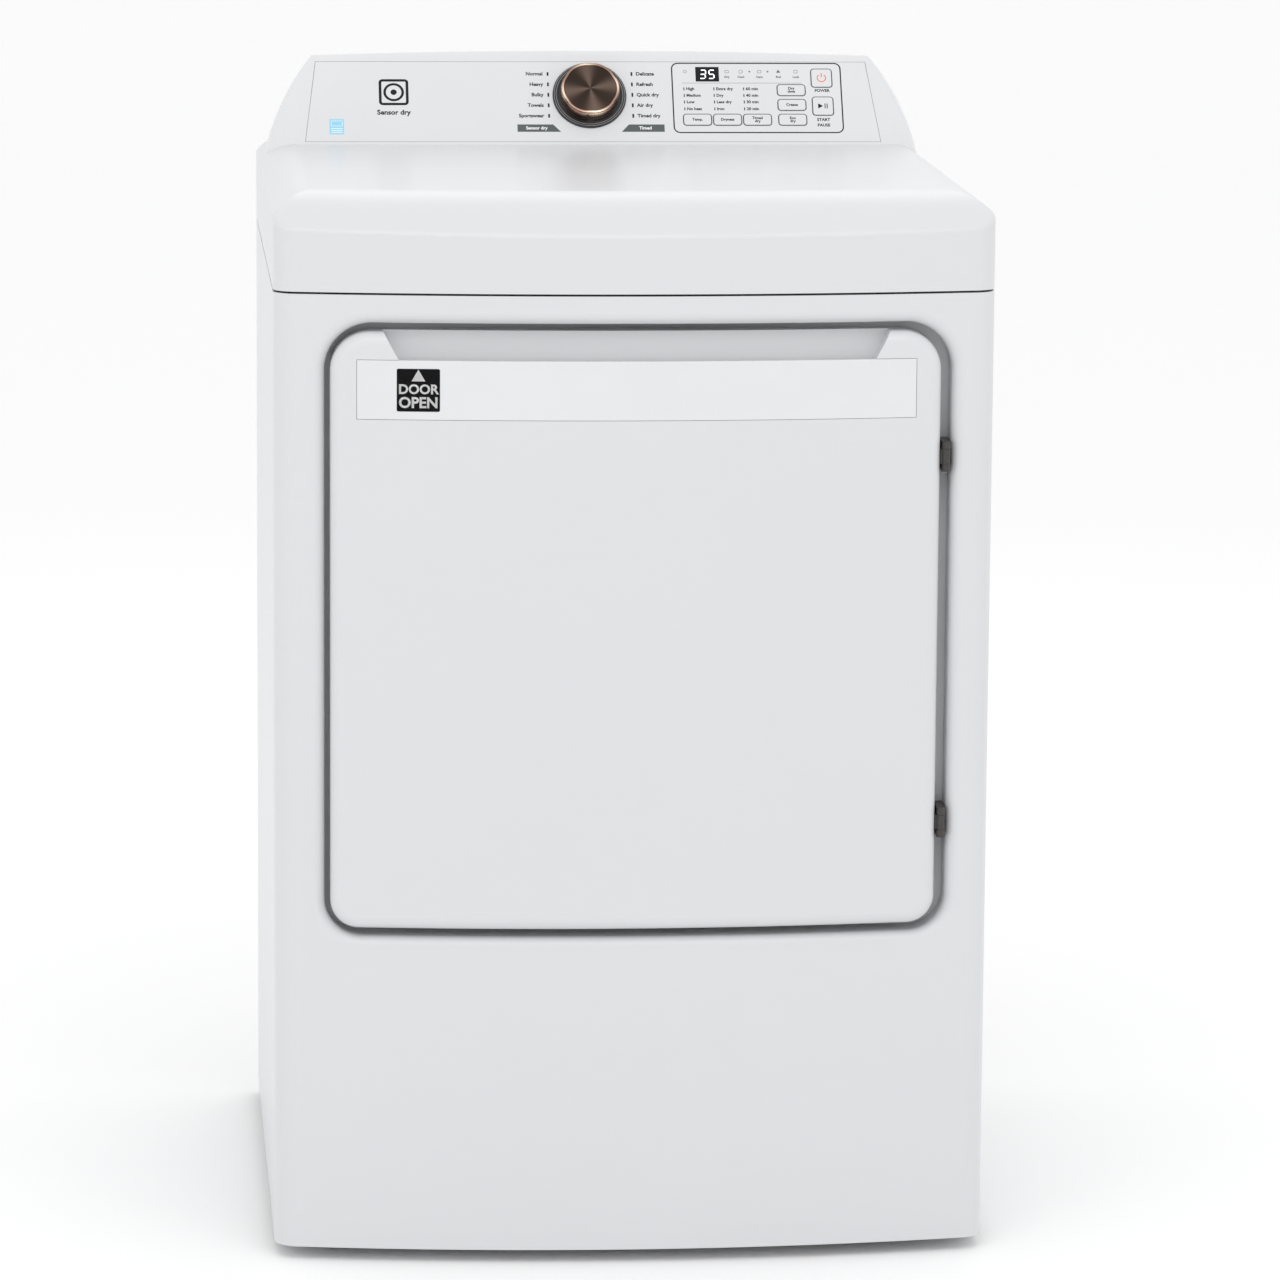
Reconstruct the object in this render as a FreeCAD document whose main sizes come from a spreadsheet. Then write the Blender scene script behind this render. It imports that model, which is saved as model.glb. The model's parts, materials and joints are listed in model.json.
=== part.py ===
"""Full-size vented electric clothes dryer, built as a parametric assembly.

Row frame, millimetres: +Z up, -Y is the front, +X the hinge side of the door. The origin is on the
floor, under the middle of the machine: half-way across its width and half-way along its depth, from
the face of the door to the end of the exhaust stub.
"""
import FreeCAD
import Part
import Sketcher
import math
import os
import re
from FreeCAD import Placement, Rotation, Vector

DIMENSIONS = [
    # cabinet
    ("width", 686, "outside width of the cabinet"),
    ("depth", 760, "face of the door to the end of the exhaust stub"),
    ("foot_height", 13, "floor to the underside of the cabinet, feet screwed in"),
    ("panel_height", 922, "underside of the cabinet to the joint with the top panel"),
    ("corner_radius", 25, "upright front corners, in plan"),
    ("front_bow", 27.5, "how far the front swells forward between its corners"),
    ("front_depth", 80, "depth of the front panel, from its bow to the side panels"),
    ("sheet", 0.8, "side and rear steel sheet"),
    ("panel_wall", 1, "front, top and bulkhead steel"),
    ("flange", 18, "return flanges of the side panels"),
    ("joint_gap", 0.5, "gap between two cabinet panels"),
    ("pan_height", 25, "rim of the base pan"),
    ("duct_stub", 28, "exhaust stub behind the rear panel"),
    # top panel and console
    ("top_gap", 2, "shadow gap between the front panel and the top panel"),
    ("apron", 55, "upright front edge of the top panel"),
    ("crown_rise", 33, "crease of the apron to the flat top"),
    ("crown_run", 100, "depth of the rolled front of the top"),
    ("crown_bow", 21, "how far the front roll swells forward, less than the apron"),
    ("shoulder_drop", 19, "flat top down to its side edges"),
    ("shoulder_run", 38, "width of each rolled side of the top"),
    ("crease_radius", 6, "rounding between the apron and the roll"),
    ("console_front", 588, "front of the cabinet to the foot of the control face"),
    ("face_tilt", 34, "lean of the control face from upright, in degrees"),
    ("face_run", 100.5, "height of the control face along its slope"),
    ("console_rise", 88, "flat top to the top corners of the console"),
    ("console_crown", 5, "extra height in the middle of the console"),
    ("console_side", 6, "cabinet side to the console at its foot"),
    ("console_shoulder", 56, "cabinet side to the console at its top"),
    ("console_belly", 7.5, "swell of each console end beyond a straight line"),
    ("console_wall", 3, "console moulding wall"),
    ("console_fall", 8, "slope of the console top towards the rear, in degrees"),
    ("roll_radius", 11, "rounding along the top of the control face"),
    ("end_radius_low", 36, "rounding of the console end at its foot"),
    ("end_radius_high", 4, "rounding of the console end at its top"),
    ("fascia_side_low", 47.3, "cabinet side to the foot of the control fascia"),
    ("fascia_side_high", 59, "cabinet side to the top of the control fascia"),
    ("fascia_wall", 2.5, "control fascia thickness"),
    ("fascia_margin", 3.5, "fascia to the foot and the head of the control face"),
    ("display_across", 108, "machine centre to the left edge of the display"),
    ("display_rise", 74.4, "foot of the face to the bottom of the display"),
    ("trim_gap", 0.4, "gap round trims, keys and windows"),
    # controls, in the plane of the control face
    ("knob_across", -3, "machine centre to the middle of the knob"),
    ("knob_rise", 57, "foot of the face to the middle of the knob"),
    ("knob_radius", 29, "knob at its face"),
    ("knob_skirt", 31.5, "knob at its foot"),
    ("knob_length", 14.7, "knob, foot to face"),
    ("ring_radius", 38, "dial ring round the knob"),
    ("ring_height", 2.6, "how far the dial ring stands proud"),
    ("encoder_radius", 3, "shaft of the rotary switch"),
    ("key_length", 28, "oblong setting keys"),
    ("key_height", 12, "oblong setting keys"),
    ("key_square", 20.5, "power and start keys"),
    ("key_thickness", 6, "key caps, front to back"),
    ("key_proud", 0.6, "how far a key stands out of the fascia"),
    ("key_corner", 3, "corner radius of the keys"),
    ("key_first", 107.6, "machine centre to the first key of the row"),
    ("key_step", 31, "pitch of the row of keys"),
    ("key_row_rise", 29, "foot of the face to the row of keys"),
    ("key_column", 206, "machine centre to the column of keys"),
    ("key_rise_step", 17.4, "pitch of the column of keys"),
    ("key_end", 238, "machine centre to the power and start keys"),
    ("start_rise", 45, "foot of the face to the start key"),
    ("power_rise", 78, "foot of the face to the power key"),
    ("display_length", 23.5, "display window"),
    ("display_height", 16.5, "display window"),
    # door pocket and door
    ("door_width", 580, "door"),
    ("door_height", 573, "door"),
    ("door_bottom", 327, "floor to the bottom of the door"),
    ("door_proud", 4, "how far the door stands out of the front"),
    ("latch_gap", 5, "gap beside the door on its latch side"),
    ("hinge_gap", 11, "gap beside the door on its hinge side"),
    ("rim_gap", 8, "gap above and below the door"),
    ("pocket_depth", 58, "front of the cabinet to the pocket floor"),
    ("pocket_lip", 11, "rounding of the pocket's front edge"),
    ("door_top_radius", 38, "upper corners of the door"),
    ("door_low_radius", 27, "lower corners of the door"),
    ("door_edge", 12, "rounding round the face of the door"),
    ("door_wall", 1.2, "door outer panel"),
    ("door_clear", 8, "back of the door to the pocket floor"),
    ("inner_wall", 2, "door inner panel"),
    ("strip_end", 25, "side of the door to the end of the handle strip"),
    ("strip_low", 82, "top of the door to the bottom of the handle strip"),
    ("strip_high", 26, "top of the door to the top of the handle strip"),
    ("strip_wall", 3, "handle strip"),
    ("grip_depth", 20, "finger space behind the handle strip"),
    ("grip_reach", 18, "how far fingers reach down behind the strip"),
    ("grip_end", 39, "end of the handle strip to the end of the finger scoop"),
    ("grip_flare", 14, "how much wider the scoop is at the top of the door"),
    # opening, drum and bulkheads
    ("axis_height", 595, "floor to the drum axis and the middle of the opening"),
    ("opening_radius", 215, "loading opening"),
    ("throat", 40, "pocket floor to the front bulkhead"),
    ("plug_radius", 190, "bulge of the door inner panel"),
    ("plug_depth", 26, "bulge of the door inner panel"),
    ("seal_inner", 222, "door seal"),
    ("seal_outer", 240, "door seal"),
    ("seal_clear", 0.3, "door seal to the pocket floor"),
    ("drum_radius", 320, "outside of the drum"),
    ("drum_wall", 0.8, "drum sheet"),
    ("drum_gap", 8, "drum edge to each bulkhead"),
    ("rib_height", 3, "ribs rolled into the drum"),
    ("lifter_height", 58, "drum lifter"),
    ("lifter_foot", 76, "drum lifter at the drum wall"),
    ("lifter_crest", 30, "drum lifter at its crest"),
    ("lifter_wall", 3, "drum lifter moulding"),
    ("collar_gap", 20, "outside of the drum to the bulkhead collar inside it"),
    ("collar_length", 28, "bulkhead collar"),
    ("felt_length", 12, "felt ring between collar and drum"),
    ("rear_space", 50, "rear bulkhead to the rear panel"),
    ("bulkhead_side", 13, "cabinet side to the edge of the bulkheads"),
    ("bulkhead_low", 262, "floor to the bottom of the bulkheads"),
    ("bulkhead_head", 13, "top of the bulkheads to the joint with the top panel"),
    ("roller_radius", 32, "drum support roller"),
    ("roller_width", 24, "drum support roller"),
    ("roller_angle", 30, "rollers from the bottom of the drum, in degrees"),
    ("run_clear", 0.3, "gap where two turning surfaces touch on the real machine"),
    ("bore_clear", 0.05, "radial clearance of a shaft in its bore"),
    ("axle_radius", 5, "roller and idler axles"),
    # drive
    ("motor_across", 130, "machine centre to the motor shaft"),
    ("motor_height", 125, "floor to the motor shaft"),
    ("motor_radius", 62, "motor case"),
    ("motor_front", 185, "front of the cabinet to the motor"),
    ("motor_length", 186, "motor case"),
    ("shaft_radius", 6.35, "motor shaft"),
    ("pulley_radius", 11, "belt groove of the motor shaft"),
    ("belt_plane", 398, "front of the cabinet to the middle of the belt"),
    ("belt_width", 8, "drive belt"),
    ("belt_thick", 3, "drive belt"),
    ("idler_radius", 18, "idler pulley"),
    ("idler_across", 65, "machine centre to the idler axle"),
    ("idler_height", 163, "floor to the idler axle"),
    ("pivot_across", 78, "machine centre to the idler arm pivot"),
    ("pivot_height", 70, "floor to the idler arm pivot"),
    ("spring_across", 108, "machine centre to the tension spring"),
    ("spring_radius", 5, "tension spring coil"),
    ("spring_wire", 1, "tension spring wire radius"),
    # air path
    ("duct_across", 0, "machine centre to the exhaust duct"),
    ("duct_height", 95, "floor to the exhaust duct"),
    ("duct_radius", 50.8, "outside radius of the exhaust stub, for four inch duct"),
    ("wheel_radius", 70, "blower wheel"),
    ("scroll_radius", 88, "blower housing"),
    ("scroll_depth", 70, "blower housing, front to back"),
    ("inlet_radius", 45, "blower inlet"),
    ("lint_half", 85, "half width of the lint filter"),
    ("lint_length", 190, "lint filter"),
    ("lint_thick", 12, "lint filter, front to back"),
    ("lint_clear", 2, "lint filter to its duct"),
    ("plug_to_lint", 3, "door bulge to the lint filter"),
    ("heater_radius", 150, "heater pan"),
    ("heater_across", -110, "machine centre to the heater"),
    ("heater_height", 690, "floor to the heater"),
    # hinges, latch, feet and rear
    ("hinge_set", 25, "front of the cabinet to the hinge pin"),
    ("hinge_drop", 121, "top of the door to the upper hinge"),
    ("hinge_rise", 98, "bottom of the door to the lower hinge"),
    ("hinge_length", 29, "hinge, top to bottom"),
    ("knuckle_radius", 4, "hinge knuckle"),
    ("pin_radius", 2, "hinge pin"),
    ("strap", 1.25, "hinge strap thickness"),
    ("latch_set", 28, "side of the door to the latch"),
    ("switch_across", 200, "machine centre to the door switch"),
    ("switch_drop", 110, "top of the door to the door switch"),
    ("foot_side", 48, "cabinet side to the feet"),
    ("foot_front", 114, "front of the cabinet to the front feet"),
    ("foot_back", 37, "rear panel to the rear feet"),
    ("foot_radius", 22, "levelling foot"),
    ("stem_radius", 5, "levelling foot stem"),
    ("stem_length", 42, "levelling foot stem above its pad"),
    ("cord_hole", 14.3, "radius of the power cord hole"),
    ("cord_across", 240, "machine centre to the power cord hole"),
    ("cord_height", 70, "floor to the power cord hole"),
]

doc = FreeCAD.newDocument("clothes_dryer")
sheet = doc.addObject("Spreadsheet::Sheet", "dims")
for row, (alias, value, meaning) in enumerate(DIMENSIONS, 1):
    sheet.set(f"A{row}", alias)
    sheet.set(f"B{row}", str(value))
    sheet.set(f"C{row}", meaning)
    sheet.setAlias(f"B{row}", alias)
doc.recompute()
ALIASES = {alias for alias, _, _ in DIMENSIONS}

# sizes that follow from the driving dimensions
FOLLOWING = {
    "console_half_base": "(width/2 - console_side)",
    "console_half_top": "(width/2 - console_shoulder)",
    "fascia_half_low": "(width/2 - fascia_side_low)",
    "fascia_half_high": "(width/2 - fascia_side_high)",
    "foot_across": "(width/2 - foot_side)",
    "bulkhead_half": "(width/2 - bulkhead_side)",
    "bulkhead_high": "(foot_height + panel_height - bulkhead_head)",
    "collar_radius": "(drum_radius - collar_gap)",
    "strip_half": "(door_width/2 - strip_end)",
    "grip_half": "(strip_half - grip_end)",
    "latch_across": "(door_width/2 - latch_set)",
    "hinge_low": "(door_bottom + hinge_rise)",
    "hinge_high": "(door_bottom + door_height - hinge_drop)",
    "switch_height": "(door_bottom + door_height - switch_drop)",
}

# places worked out from the driving dimensions
FRONT = "(-depth/2 + door_proud)"
REAR = "(depth/2 - duct_stub)"
SEAM = "(foot_height + panel_height)"
CREASE = f"({SEAM} + top_gap + apron)"
FLAT = f"({CREASE} + crown_rise)"
BOW_HALF = "(width/2 - corner_radius)"
BOW = f"(({BOW_HALF}^2 + front_bow^2)/(2*front_bow))"
WRAP = f"({FRONT} + front_depth)"
FLOOR = f"({FRONT} + pocket_depth)"
FLOOR_BACK = f"({FLOOR} + panel_wall)"
DOOR_FACE = "(-depth/2)"
DOOR_BACK = f"({FLOOR} - door_clear)"
DOOR_TOP = "(door_bottom + door_height)"
BULKHEAD = f"({FLOOR_BACK} + throat)"
DRUM_FRONT = f"({BULKHEAD} + panel_wall + drum_gap)"
REAR_BULKHEAD = f"({REAR} - sheet - rear_space)"
DRUM_BACK = f"({REAR_BULKHEAD} - drum_gap)"
HINGE_X = "(door_width/2 + hinge_gap/2)"
HINGE_Y = f"({FRONT} + hinge_set)"
FACE_Y = f"({FRONT} + console_front)"
CONSOLE_TOP = f"({FLAT} + console_rise)"
PLUG = f"({DOOR_BACK} + plug_depth)"
LINT = f"({PLUG} + plug_to_lint)"
DUCT_FRONT = f"({LINT} - lint_clear - panel_wall)"
DUCT_BACK = f"({LINT} + lint_thick + lint_clear + panel_wall)"
BELT = f"({FRONT} + belt_plane)"
MOTOR = f"({FRONT} + motor_front)"
MOTOR_BACK = f"({MOTOR} + motor_length)"
PAN_TOP = "(foot_height + panel_wall)"
LINT_TOP = "(axis_height - opening_radius + 2)"
LINT_LOW = f"({LINT_TOP} - lint_length)"

NODES = []
X, Y, Z = Vector(1, 0, 0), Vector(0, 1, 0), Vector(0, 0, 1)


def sized(text):
    """The expression with every dimension's name pointing at the sheet."""
    def point(match):
        word = match.group()
        if word in FOLLOWING:
            return sized(FOLLOWING[word])
        return "dims." + word if word in ALIASES else word
    return re.sub(r"[a-z_]+", point, str(text))


def num(text):
    """The present value of an expression on the dimensions."""
    value = sheet.evalExpression(sized(text))
    return float(getattr(value, "Value", value))


def at(x, y, z):
    return Vector(num(x), num(y), num(z))


def bind(thing, **sizes):
    for name, text in sizes.items():
        thing.setExpression(name, sized(text))
    return thing


def place(thing, x="0", y="0", z="0", axis=None, angle=0):
    """Puts a thing at a place given by expressions, after an optional fixed turn."""
    thing.Placement = Placement(Vector(), Rotation(axis, angle) if axis else Rotation())
    for part, text in zip("xyz", (x, y, z)):
        thing.setExpression("Placement.Base." + part, sized(text))
    return thing


def node(thing, name):
    """Marks a finished shape as a sub-part of the machine."""
    thing.Label = name
    NODES.append(thing)
    return thing


def box(x0, x1, y0, y1, z0, z1):
    thing = doc.addObject("Part::Box", "block")
    bind(thing, Length=f"({x1}) - ({x0})", Width=f"({y1}) - ({y0})", Height=f"({z1}) - ({z0})")
    return place(thing, x0, y0, z0)


def rod(radius, y0, y1, x="0", z="0"):
    """A cylinder along Y."""
    thing = doc.addObject("Part::Cylinder", "rod")
    bind(thing, Radius=radius, Height=f"({y1}) - ({y0})")
    return place(thing, x, y0, z, X, -90)


def post(radius, z0, z1, x="0", y="0"):
    """A cylinder along Z."""
    thing = doc.addObject("Part::Cylinder", "post")
    bind(thing, Radius=radius, Height=f"({z1}) - ({z0})")
    return place(thing, x, y, z0)


def cut(base, *tools):
    thing = doc.addObject("Part::Cut", "cut")
    thing.Base, thing.Tool = base, tools[0] if len(tools) == 1 else joined(*tools)
    return thing


def joined(*pieces):
    thing = doc.addObject("Part::MultiFuse", "joined")
    thing.Shapes = list(pieces)
    thing.Refine = True
    return thing


def common(*pieces):
    thing = doc.addObject("Part::MultiCommon", "common")
    thing.Shapes = list(pieces)
    return thing


def group(*pieces):
    """Separate solids that share one node."""
    thing = doc.addObject("Part::Compound", "group")
    thing.Links = list(pieces)
    return thing


def fixed(shape, name="shape"):
    """A shape worked out by code, where no sketch or primitive fits."""
    thing = doc.addObject("Part::Feature", name)
    thing.Shape = shape
    return thing


def rounded(base, *picks):
    """Fillets the edges that each (test, radius, end radius) picks."""
    doc.recompute()
    thing = doc.addObject("Part::Fillet", "rounded")
    thing.Base = base
    edges = []
    for test, radius, *end in picks:
        found = [i for i, edge in enumerate(base.Shape.Edges, 1) if test(edge)]
        if not found:
            raise ValueError(f"no edge to round on {base.Name}")
        edges += [(i, num(radius), num(end[0] if end else radius)) for i in found]
    thing.Edges = edges
    return thing


def along(direction, *tests):
    """An edge test: straight, parallel to direction, and passing every further test on its middle."""
    def test(edge):
        if edge.Curve.TypeId != "Part::GeomLine":
            return False
        middle = edge.CenterOfMass
        return abs(edge.Curve.Direction.dot(direction)) > 0.999 and all(t(middle) for t in tests)
    return test


def sketched(body, plane, outline, name="outline"):
    """A closed sketch of straight lines, each corner held by two dimensions."""
    sketch = body.newObject("Sketcher::SketchObject", name)
    support = next(f for f in body.Origin.OriginFeatures if f.Role == plane)
    sketch.AttachmentSupport = [(support, "")]
    sketch.MapMode = "FlatFace"
    corners = [Vector(num(a), num(b), 0) for a, b in outline]
    count = len(corners)
    for i in range(count):
        sketch.addGeometry(Part.LineSegment(corners[i], corners[(i + 1) % count]))
    for i in range(count):
        sketch.addConstraint(Sketcher.Constraint("Coincident", i, 2, (i + 1) % count, 1))
    for i, pair in enumerate(outline):
        for kind, text, value in zip(("DistanceX", "DistanceY"), pair, corners[i]):
            at_corner = sketch.addConstraint(Sketcher.Constraint(kind, -1, 1, i, 1, value))
            sketch.setExpression(f"Constraints[{at_corner}]", sized(text))
    return sketch


def turned(outline, x="0", y="0", z="0", axis=X, angle=-90):
    """A Body revolved from (radius, length) corners; by default its axis lies along Y."""
    body = doc.addObject("PartDesign::Body", "turned")
    sketch = sketched(body, "XZ_Plane", outline)
    solid = body.newObject("PartDesign::Revolution", "revolution")
    solid.Profile = (sketch, [""])
    solid.ReferenceAxis = (sketch, ["V_Axis"])
    solid.Angle = 360
    body.Tip = solid
    sketch.Visibility = False
    return place(body, x, y, z, axis, angle)


def plate(outline, y0, y1, name="plate"):
    """A Body padded along +Y from an outline of (x, z) corners."""
    body = doc.addObject("PartDesign::Body", name)
    sketch = sketched(body, "XZ_Plane", outline)
    pad = body.newObject("PartDesign::Pad", "pad")
    pad.Profile = (sketch, [""])
    pad.Reversed = True
    pad.setExpression("Length", sized(f"({y1}) - ({y0})"))
    body.Tip = pad
    return place(body, "0", y0, "0")


def on_face(thing, u, v, w, turn=0):
    """Puts a thing made in its own X, Y, Z onto the control face: u across, v up the slope, w out of it."""
    y = f"{FACE_Y} + ({v})*sin(face_tilt) - ({w})*cos(face_tilt)"
    z = f"{FLAT} + ({v})*cos(face_tilt) + ({w})*sin(face_tilt)"
    place(thing, u, y, z, X, 90 - num("face_tilt") + turn)
    thing.setExpression("Placement.Rotation.Angle", sized(f"90 - face_tilt + {turn}"))
    return thing


def face_box(u0, u1, v0, v1, w0, w1):
    thing = doc.addObject("Part::Box", "face_block")
    bind(thing, Length=f"({u1}) - ({u0})", Width=f"({v1}) - ({v0})", Height=f"({w1}) - ({w0})")
    return on_face(thing, u0, v0, w0)


def face_rod(radius, u, v, w0, w1):
    thing = doc.addObject("Part::Cylinder", "face_rod")
    bind(thing, Radius=radius, Height=f"({w1}) - ({w0})")
    return on_face(thing, u, v, w0)


# ---------------------------------------------------------------- cabinet shell

def bowed_block(x0, x1, front, back, z0, z1, radius):
    """A block whose front follows an upright cylinder of that radius."""
    block = box(x0, x1, front, back, z0, z1)
    return common(block, post(radius, z0, z1, "0", f"{front} + {radius}"))


def pocket_solid(grow):
    """The door pocket as a solid, grown all round by grow."""
    x0, x1 = f"-door_width/2 - latch_gap - {grow}", f"door_width/2 + hinge_gap + {grow}"
    z0, z1 = f"door_bottom - rim_gap - {grow}", f"{DOOR_TOP} + rim_gap + {grow}"
    block = box(x0, x1, f"{FRONT} - pocket_depth", f"{FLOOR} + {grow}", z0, z1)
    middle = num("door_bottom + door_height/2")
    return rounded(
        block,
        (along(Y, lambda p: p.z > middle), f"door_top_radius + rim_gap + {grow}"),
        (along(Y, lambda p: p.z < middle), f"door_low_radius + rim_gap + {grow}"),
    )


def front_solid(grow):
    """The front panel as a solid block, all its faces set inwards by grow."""
    front, half = f"({FRONT} + {grow})", f"(width/2 - {grow})"
    back = f"{WRAP} + 4*{grow}"
    block = bowed_block(f"-{half}", half, front, back, f"foot_height + {grow}", f"{SEAM} - {grow}",
                        f"({BOW} - {grow})")
    edge = num(half)
    block = rounded(block, (along(Z, lambda p: abs(abs(p.x) - edge) < 0.1 and p.y < num(WRAP) - 5),
                            f"corner_radius - {grow}"))
    block = cut(block, pocket_solid(grow))
    doc.recompute()
    reach = num(FRONT) + num("front_bow") + num(grow) + 0.2

    def pocket_edge(edge):
        box_ = edge.BoundBox
        inside = max(abs(box_.XMin), abs(box_.XMax)) < num("door_width/2 + hinge_gap") + num(grow) + 0.1
        level = num(f"door_bottom - rim_gap - {grow}") - 0.1 < box_.ZMin
        level = level and box_.ZMax < num(f"{DOOR_TOP} + rim_gap + {grow}") + 0.1
        return inside and level and box_.YMax < reach
    return rounded(block, (pocket_edge, f"pocket_lip - {grow}"))


def make_front_panel():
    shell = cut(front_solid("0"), front_solid("panel_wall"))
    opening = rod("opening_radius", f"{FLOOR} - 5", f"{FLOOR} + 10", "0", "axis_height")
    latch = box("-latch_across - 8", "-latch_across + 8", f"{FLOOR} - 5", f"{FLOOR} + 10",
                "axis_height - 15", "axis_height + 15")
    switch = rod("4", f"{FLOOR} - 5", f"{FLOOR} + 10", "-switch_across", "switch_height")
    node(cut(shell, opening, latch, switch), "front_panel")


def side_panel(name, side):
    """A side sheet with return flanges at the front, rear and top."""
    y0, y1 = f"{WRAP} + joint_gap", f"{REAR} - sheet"
    span = ["width/2 - flange", "width/2"] if side > 0 else ["-width/2", "-width/2 + flange"]
    tray = box(*span, y0, y1, "foot_height", SEAM)
    hollow = ["width/2 - flange - 1",
              "width/2 - sheet"] if side > 0 else ["-width/2 + sheet", "-width/2 + flange + 1"]
    node(cut(tray, box(*hollow, f"{y0} + sheet", f"{y1} - sheet", "foot_height - 1", f"{SEAM} - sheet")),
         name)


def make_base_pan():
    x1 = "(width/2 - sheet - joint_gap)"
    y0, y1 = f"{WRAP} + joint_gap + sheet + 0.3", f"{REAR} - 2*sheet - 0.2"
    tray = box(f"-{x1}", x1, y0, y1, "foot_height", "foot_height + pan_height")
    hollow = box(f"-{x1} + panel_wall", f"{x1} - panel_wall", f"{y0} + panel_wall", f"{y1} - panel_wall",
                 PAN_TOP, "foot_height + pan_height + 1")
    holes = [post("stem_radius + 0.3", "foot_height - 1", f"{PAN_TOP} + 1", x, y) for _, x, y in FEET]
    node(cut(tray, hollow, *holes), "base_pan")


FEET = [
    (f"{end}_{side}", f"{sign}foot_across", place_y)
    for end, place_y in (("front", f"{FRONT} + foot_front"), ("rear", f"{REAR} - foot_back"))
    for side, sign in (("left", "-"), ("right", ""))
]


def make_feet():
    """Four levelling feet: a pad with a chamfered edge and a threaded stem."""
    for name, x, y in FEET:
        pad = "(foot_height - 3)"
        outline = [("0", "0"), ("foot_radius - 2", "0"), ("foot_radius", "2"), ("foot_radius", f"{pad} - 2"),
                   ("foot_radius - 4", pad), ("stem_radius", pad), ("stem_radius", f"{pad} + stem_length"),
                   ("0", f"{pad} + stem_length")]
        node(turned(outline, x, y, "0", Z, 0), f"foot_{name}")


def make_rear_panel():
    half = "width/2"
    sheet_ = box(f"-{half}", half, f"{REAR} - sheet", REAR, "foot_height", SEAM)
    y0, y1 = f"{REAR} - 10", f"{REAR} + 10"
    cuts = [
        rod("duct_radius + 1", y0, y1, "duct_across", "duct_height"),
        rod("cord_hole", y0, y1, "cord_across", "cord_height"),
        box("cord_across - 45", "cord_across + 45", y0, y1, "cord_height + 45", "cord_height + 95"),
    ]
    for column in range(3):
        for row_ in range(8):
            x = f"heater_across - 120 + {column}*90"
            z = f"heater_height - 63 + {row_}*18"
            cuts.append(box(x, f"{x} + 60", y0, y1, z, f"{z} + 6"))
    node(cut(sheet_, *cuts), "rear_panel")


# ---------------------------------------------------------------- top panel and console

def top_solid(grow, low, corner="corner_radius"):
    """The top panel as a solid, its faces set inwards by grow and its underside at low."""
    half, front = f"(width/2 - {grow})", f"({FRONT} + {grow})"
    plan = bowed_block(f"-{half}", half, front, f"{REAR} - {grow}", low, f"{FLAT} + 5", f"({BOW} - {grow})")
    edge = num(half)
    plan = rounded(plan, (along(Z, lambda p: abs(abs(p.x) - edge) < 0.1 and p.y < 0), f"{corner} - {grow}"))
    # the front roll is one profile turned about a far upright axis
    flat, rise, run = num(f"{FLAT} - {grow}"), num("crown_rise"), num("crown_run")
    bow_half, bow = num(BOW_HALF), num("crown_bow")
    swing = (bow_half ** 2 + bow ** 2) / (2 * bow)
    start = num(FRONT)
    radius = (run ** 2 + rise ** 2) / (2 * rise)
    centre_z = num(FLAT) - radius
    inner = radius - num(grow)
    y_in = start - 20
    z_in = centre_z + math.sqrt(max(inner ** 2 - (run + 20) ** 2, 1))
    tangent = Vector(0, start + run, flat)
    lowest = num(low)
    middle_angle = (math.atan2(z_in - centre_z, y_in - start - run) + math.pi / 2) / 2
    middle = Vector(0, start + run + inner * math.cos(middle_angle),
                    centre_z + inner * math.sin(middle_angle))
    corner = Vector(0, y_in, z_in)
    back = start + swing
    profile = Part.Wire([
        Part.Arc(corner, middle, tangent).toShape(),
        Part.makeLine(tangent, Vector(0, back, flat)),
        Part.makeLine(Vector(0, back, flat), Vector(0, back, lowest)),
        Part.makeLine(Vector(0, back, lowest), Vector(0, y_in, lowest)),
        Part.makeLine(Vector(0, y_in, lowest), corner),
    ])
    lump = Part.Face(profile).revolve(Vector(0, back, 0), Z, 60)
    lump.rotate(Vector(0, back, 0), Z, -30)
    roll = fixed(lump, "front_roll")
    # the side rolls are one outline along Y
    drop, side_run = num("shoulder_drop"), num("shoulder_run")
    side_radius = (side_run ** 2 + drop ** 2) / (2 * drop) - num(grow)
    reach = num(half)
    turn_x = num("width/2 - shoulder_run")
    side_z = flat - side_radius + math.sqrt(side_radius ** 2 - (reach - turn_x) ** 2)
    mid = math.asin((reach - turn_x) / side_radius) / 2
    mid_x, mid_z = turn_x + side_radius * math.sin(mid), flat - side_radius + side_radius * math.cos(mid)
    ends = {s: [Vector(s * reach, -1000, side_z), Vector(s * mid_x, -1000, mid_z),
                Vector(s * turn_x, -1000, flat)]
            for s in (-1, 1)}
    outline = Part.Wire([
        Part.Arc(*ends[-1]).toShape(),
        Part.makeLine(ends[-1][2], ends[1][2]),
        Part.Arc(*reversed(ends[1])).toShape(),
        Part.makeLine(ends[1][0], Vector(reach, -1000, lowest)),
        Part.makeLine(Vector(reach, -1000, lowest), Vector(-reach, -1000, lowest)),
        Part.makeLine(Vector(-reach, -1000, lowest), ends[-1][0]),
    ])
    sides = fixed(Part.Face(outline).extrude(Vector(0, 2000, 0)), "side_rolls")
    return common(plan, roll, sides)


def make_top_panel():
    low = f"{SEAM} + top_gap"
    outer = top_solid("0", low)
    doc.recompute()
    crease = num(CREASE)

    def front_crease(edge):
        box_ = edge.BoundBox
        return box_.YMax < num(f"{FRONT} + front_bow + 1") and box_.ZMin > crease - 8 and box_.XLength > 300
    outer = rounded(outer, (front_crease, "crease_radius"))
    # above the apron the hollow's corners keep clear of the rounded crease
    apron = common(top_solid("panel_wall", f"{low} - 20"),
                   box("-width", "width", "-width", "width", f"{low} - 30", f"{CREASE} - 3*crease_radius"))
    roof = top_solid("panel_wall", f"{low} - 20", "(2*corner_radius + crease_radius)")
    node(cut(outer, joined(apron, roof)), "top_panel")


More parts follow.
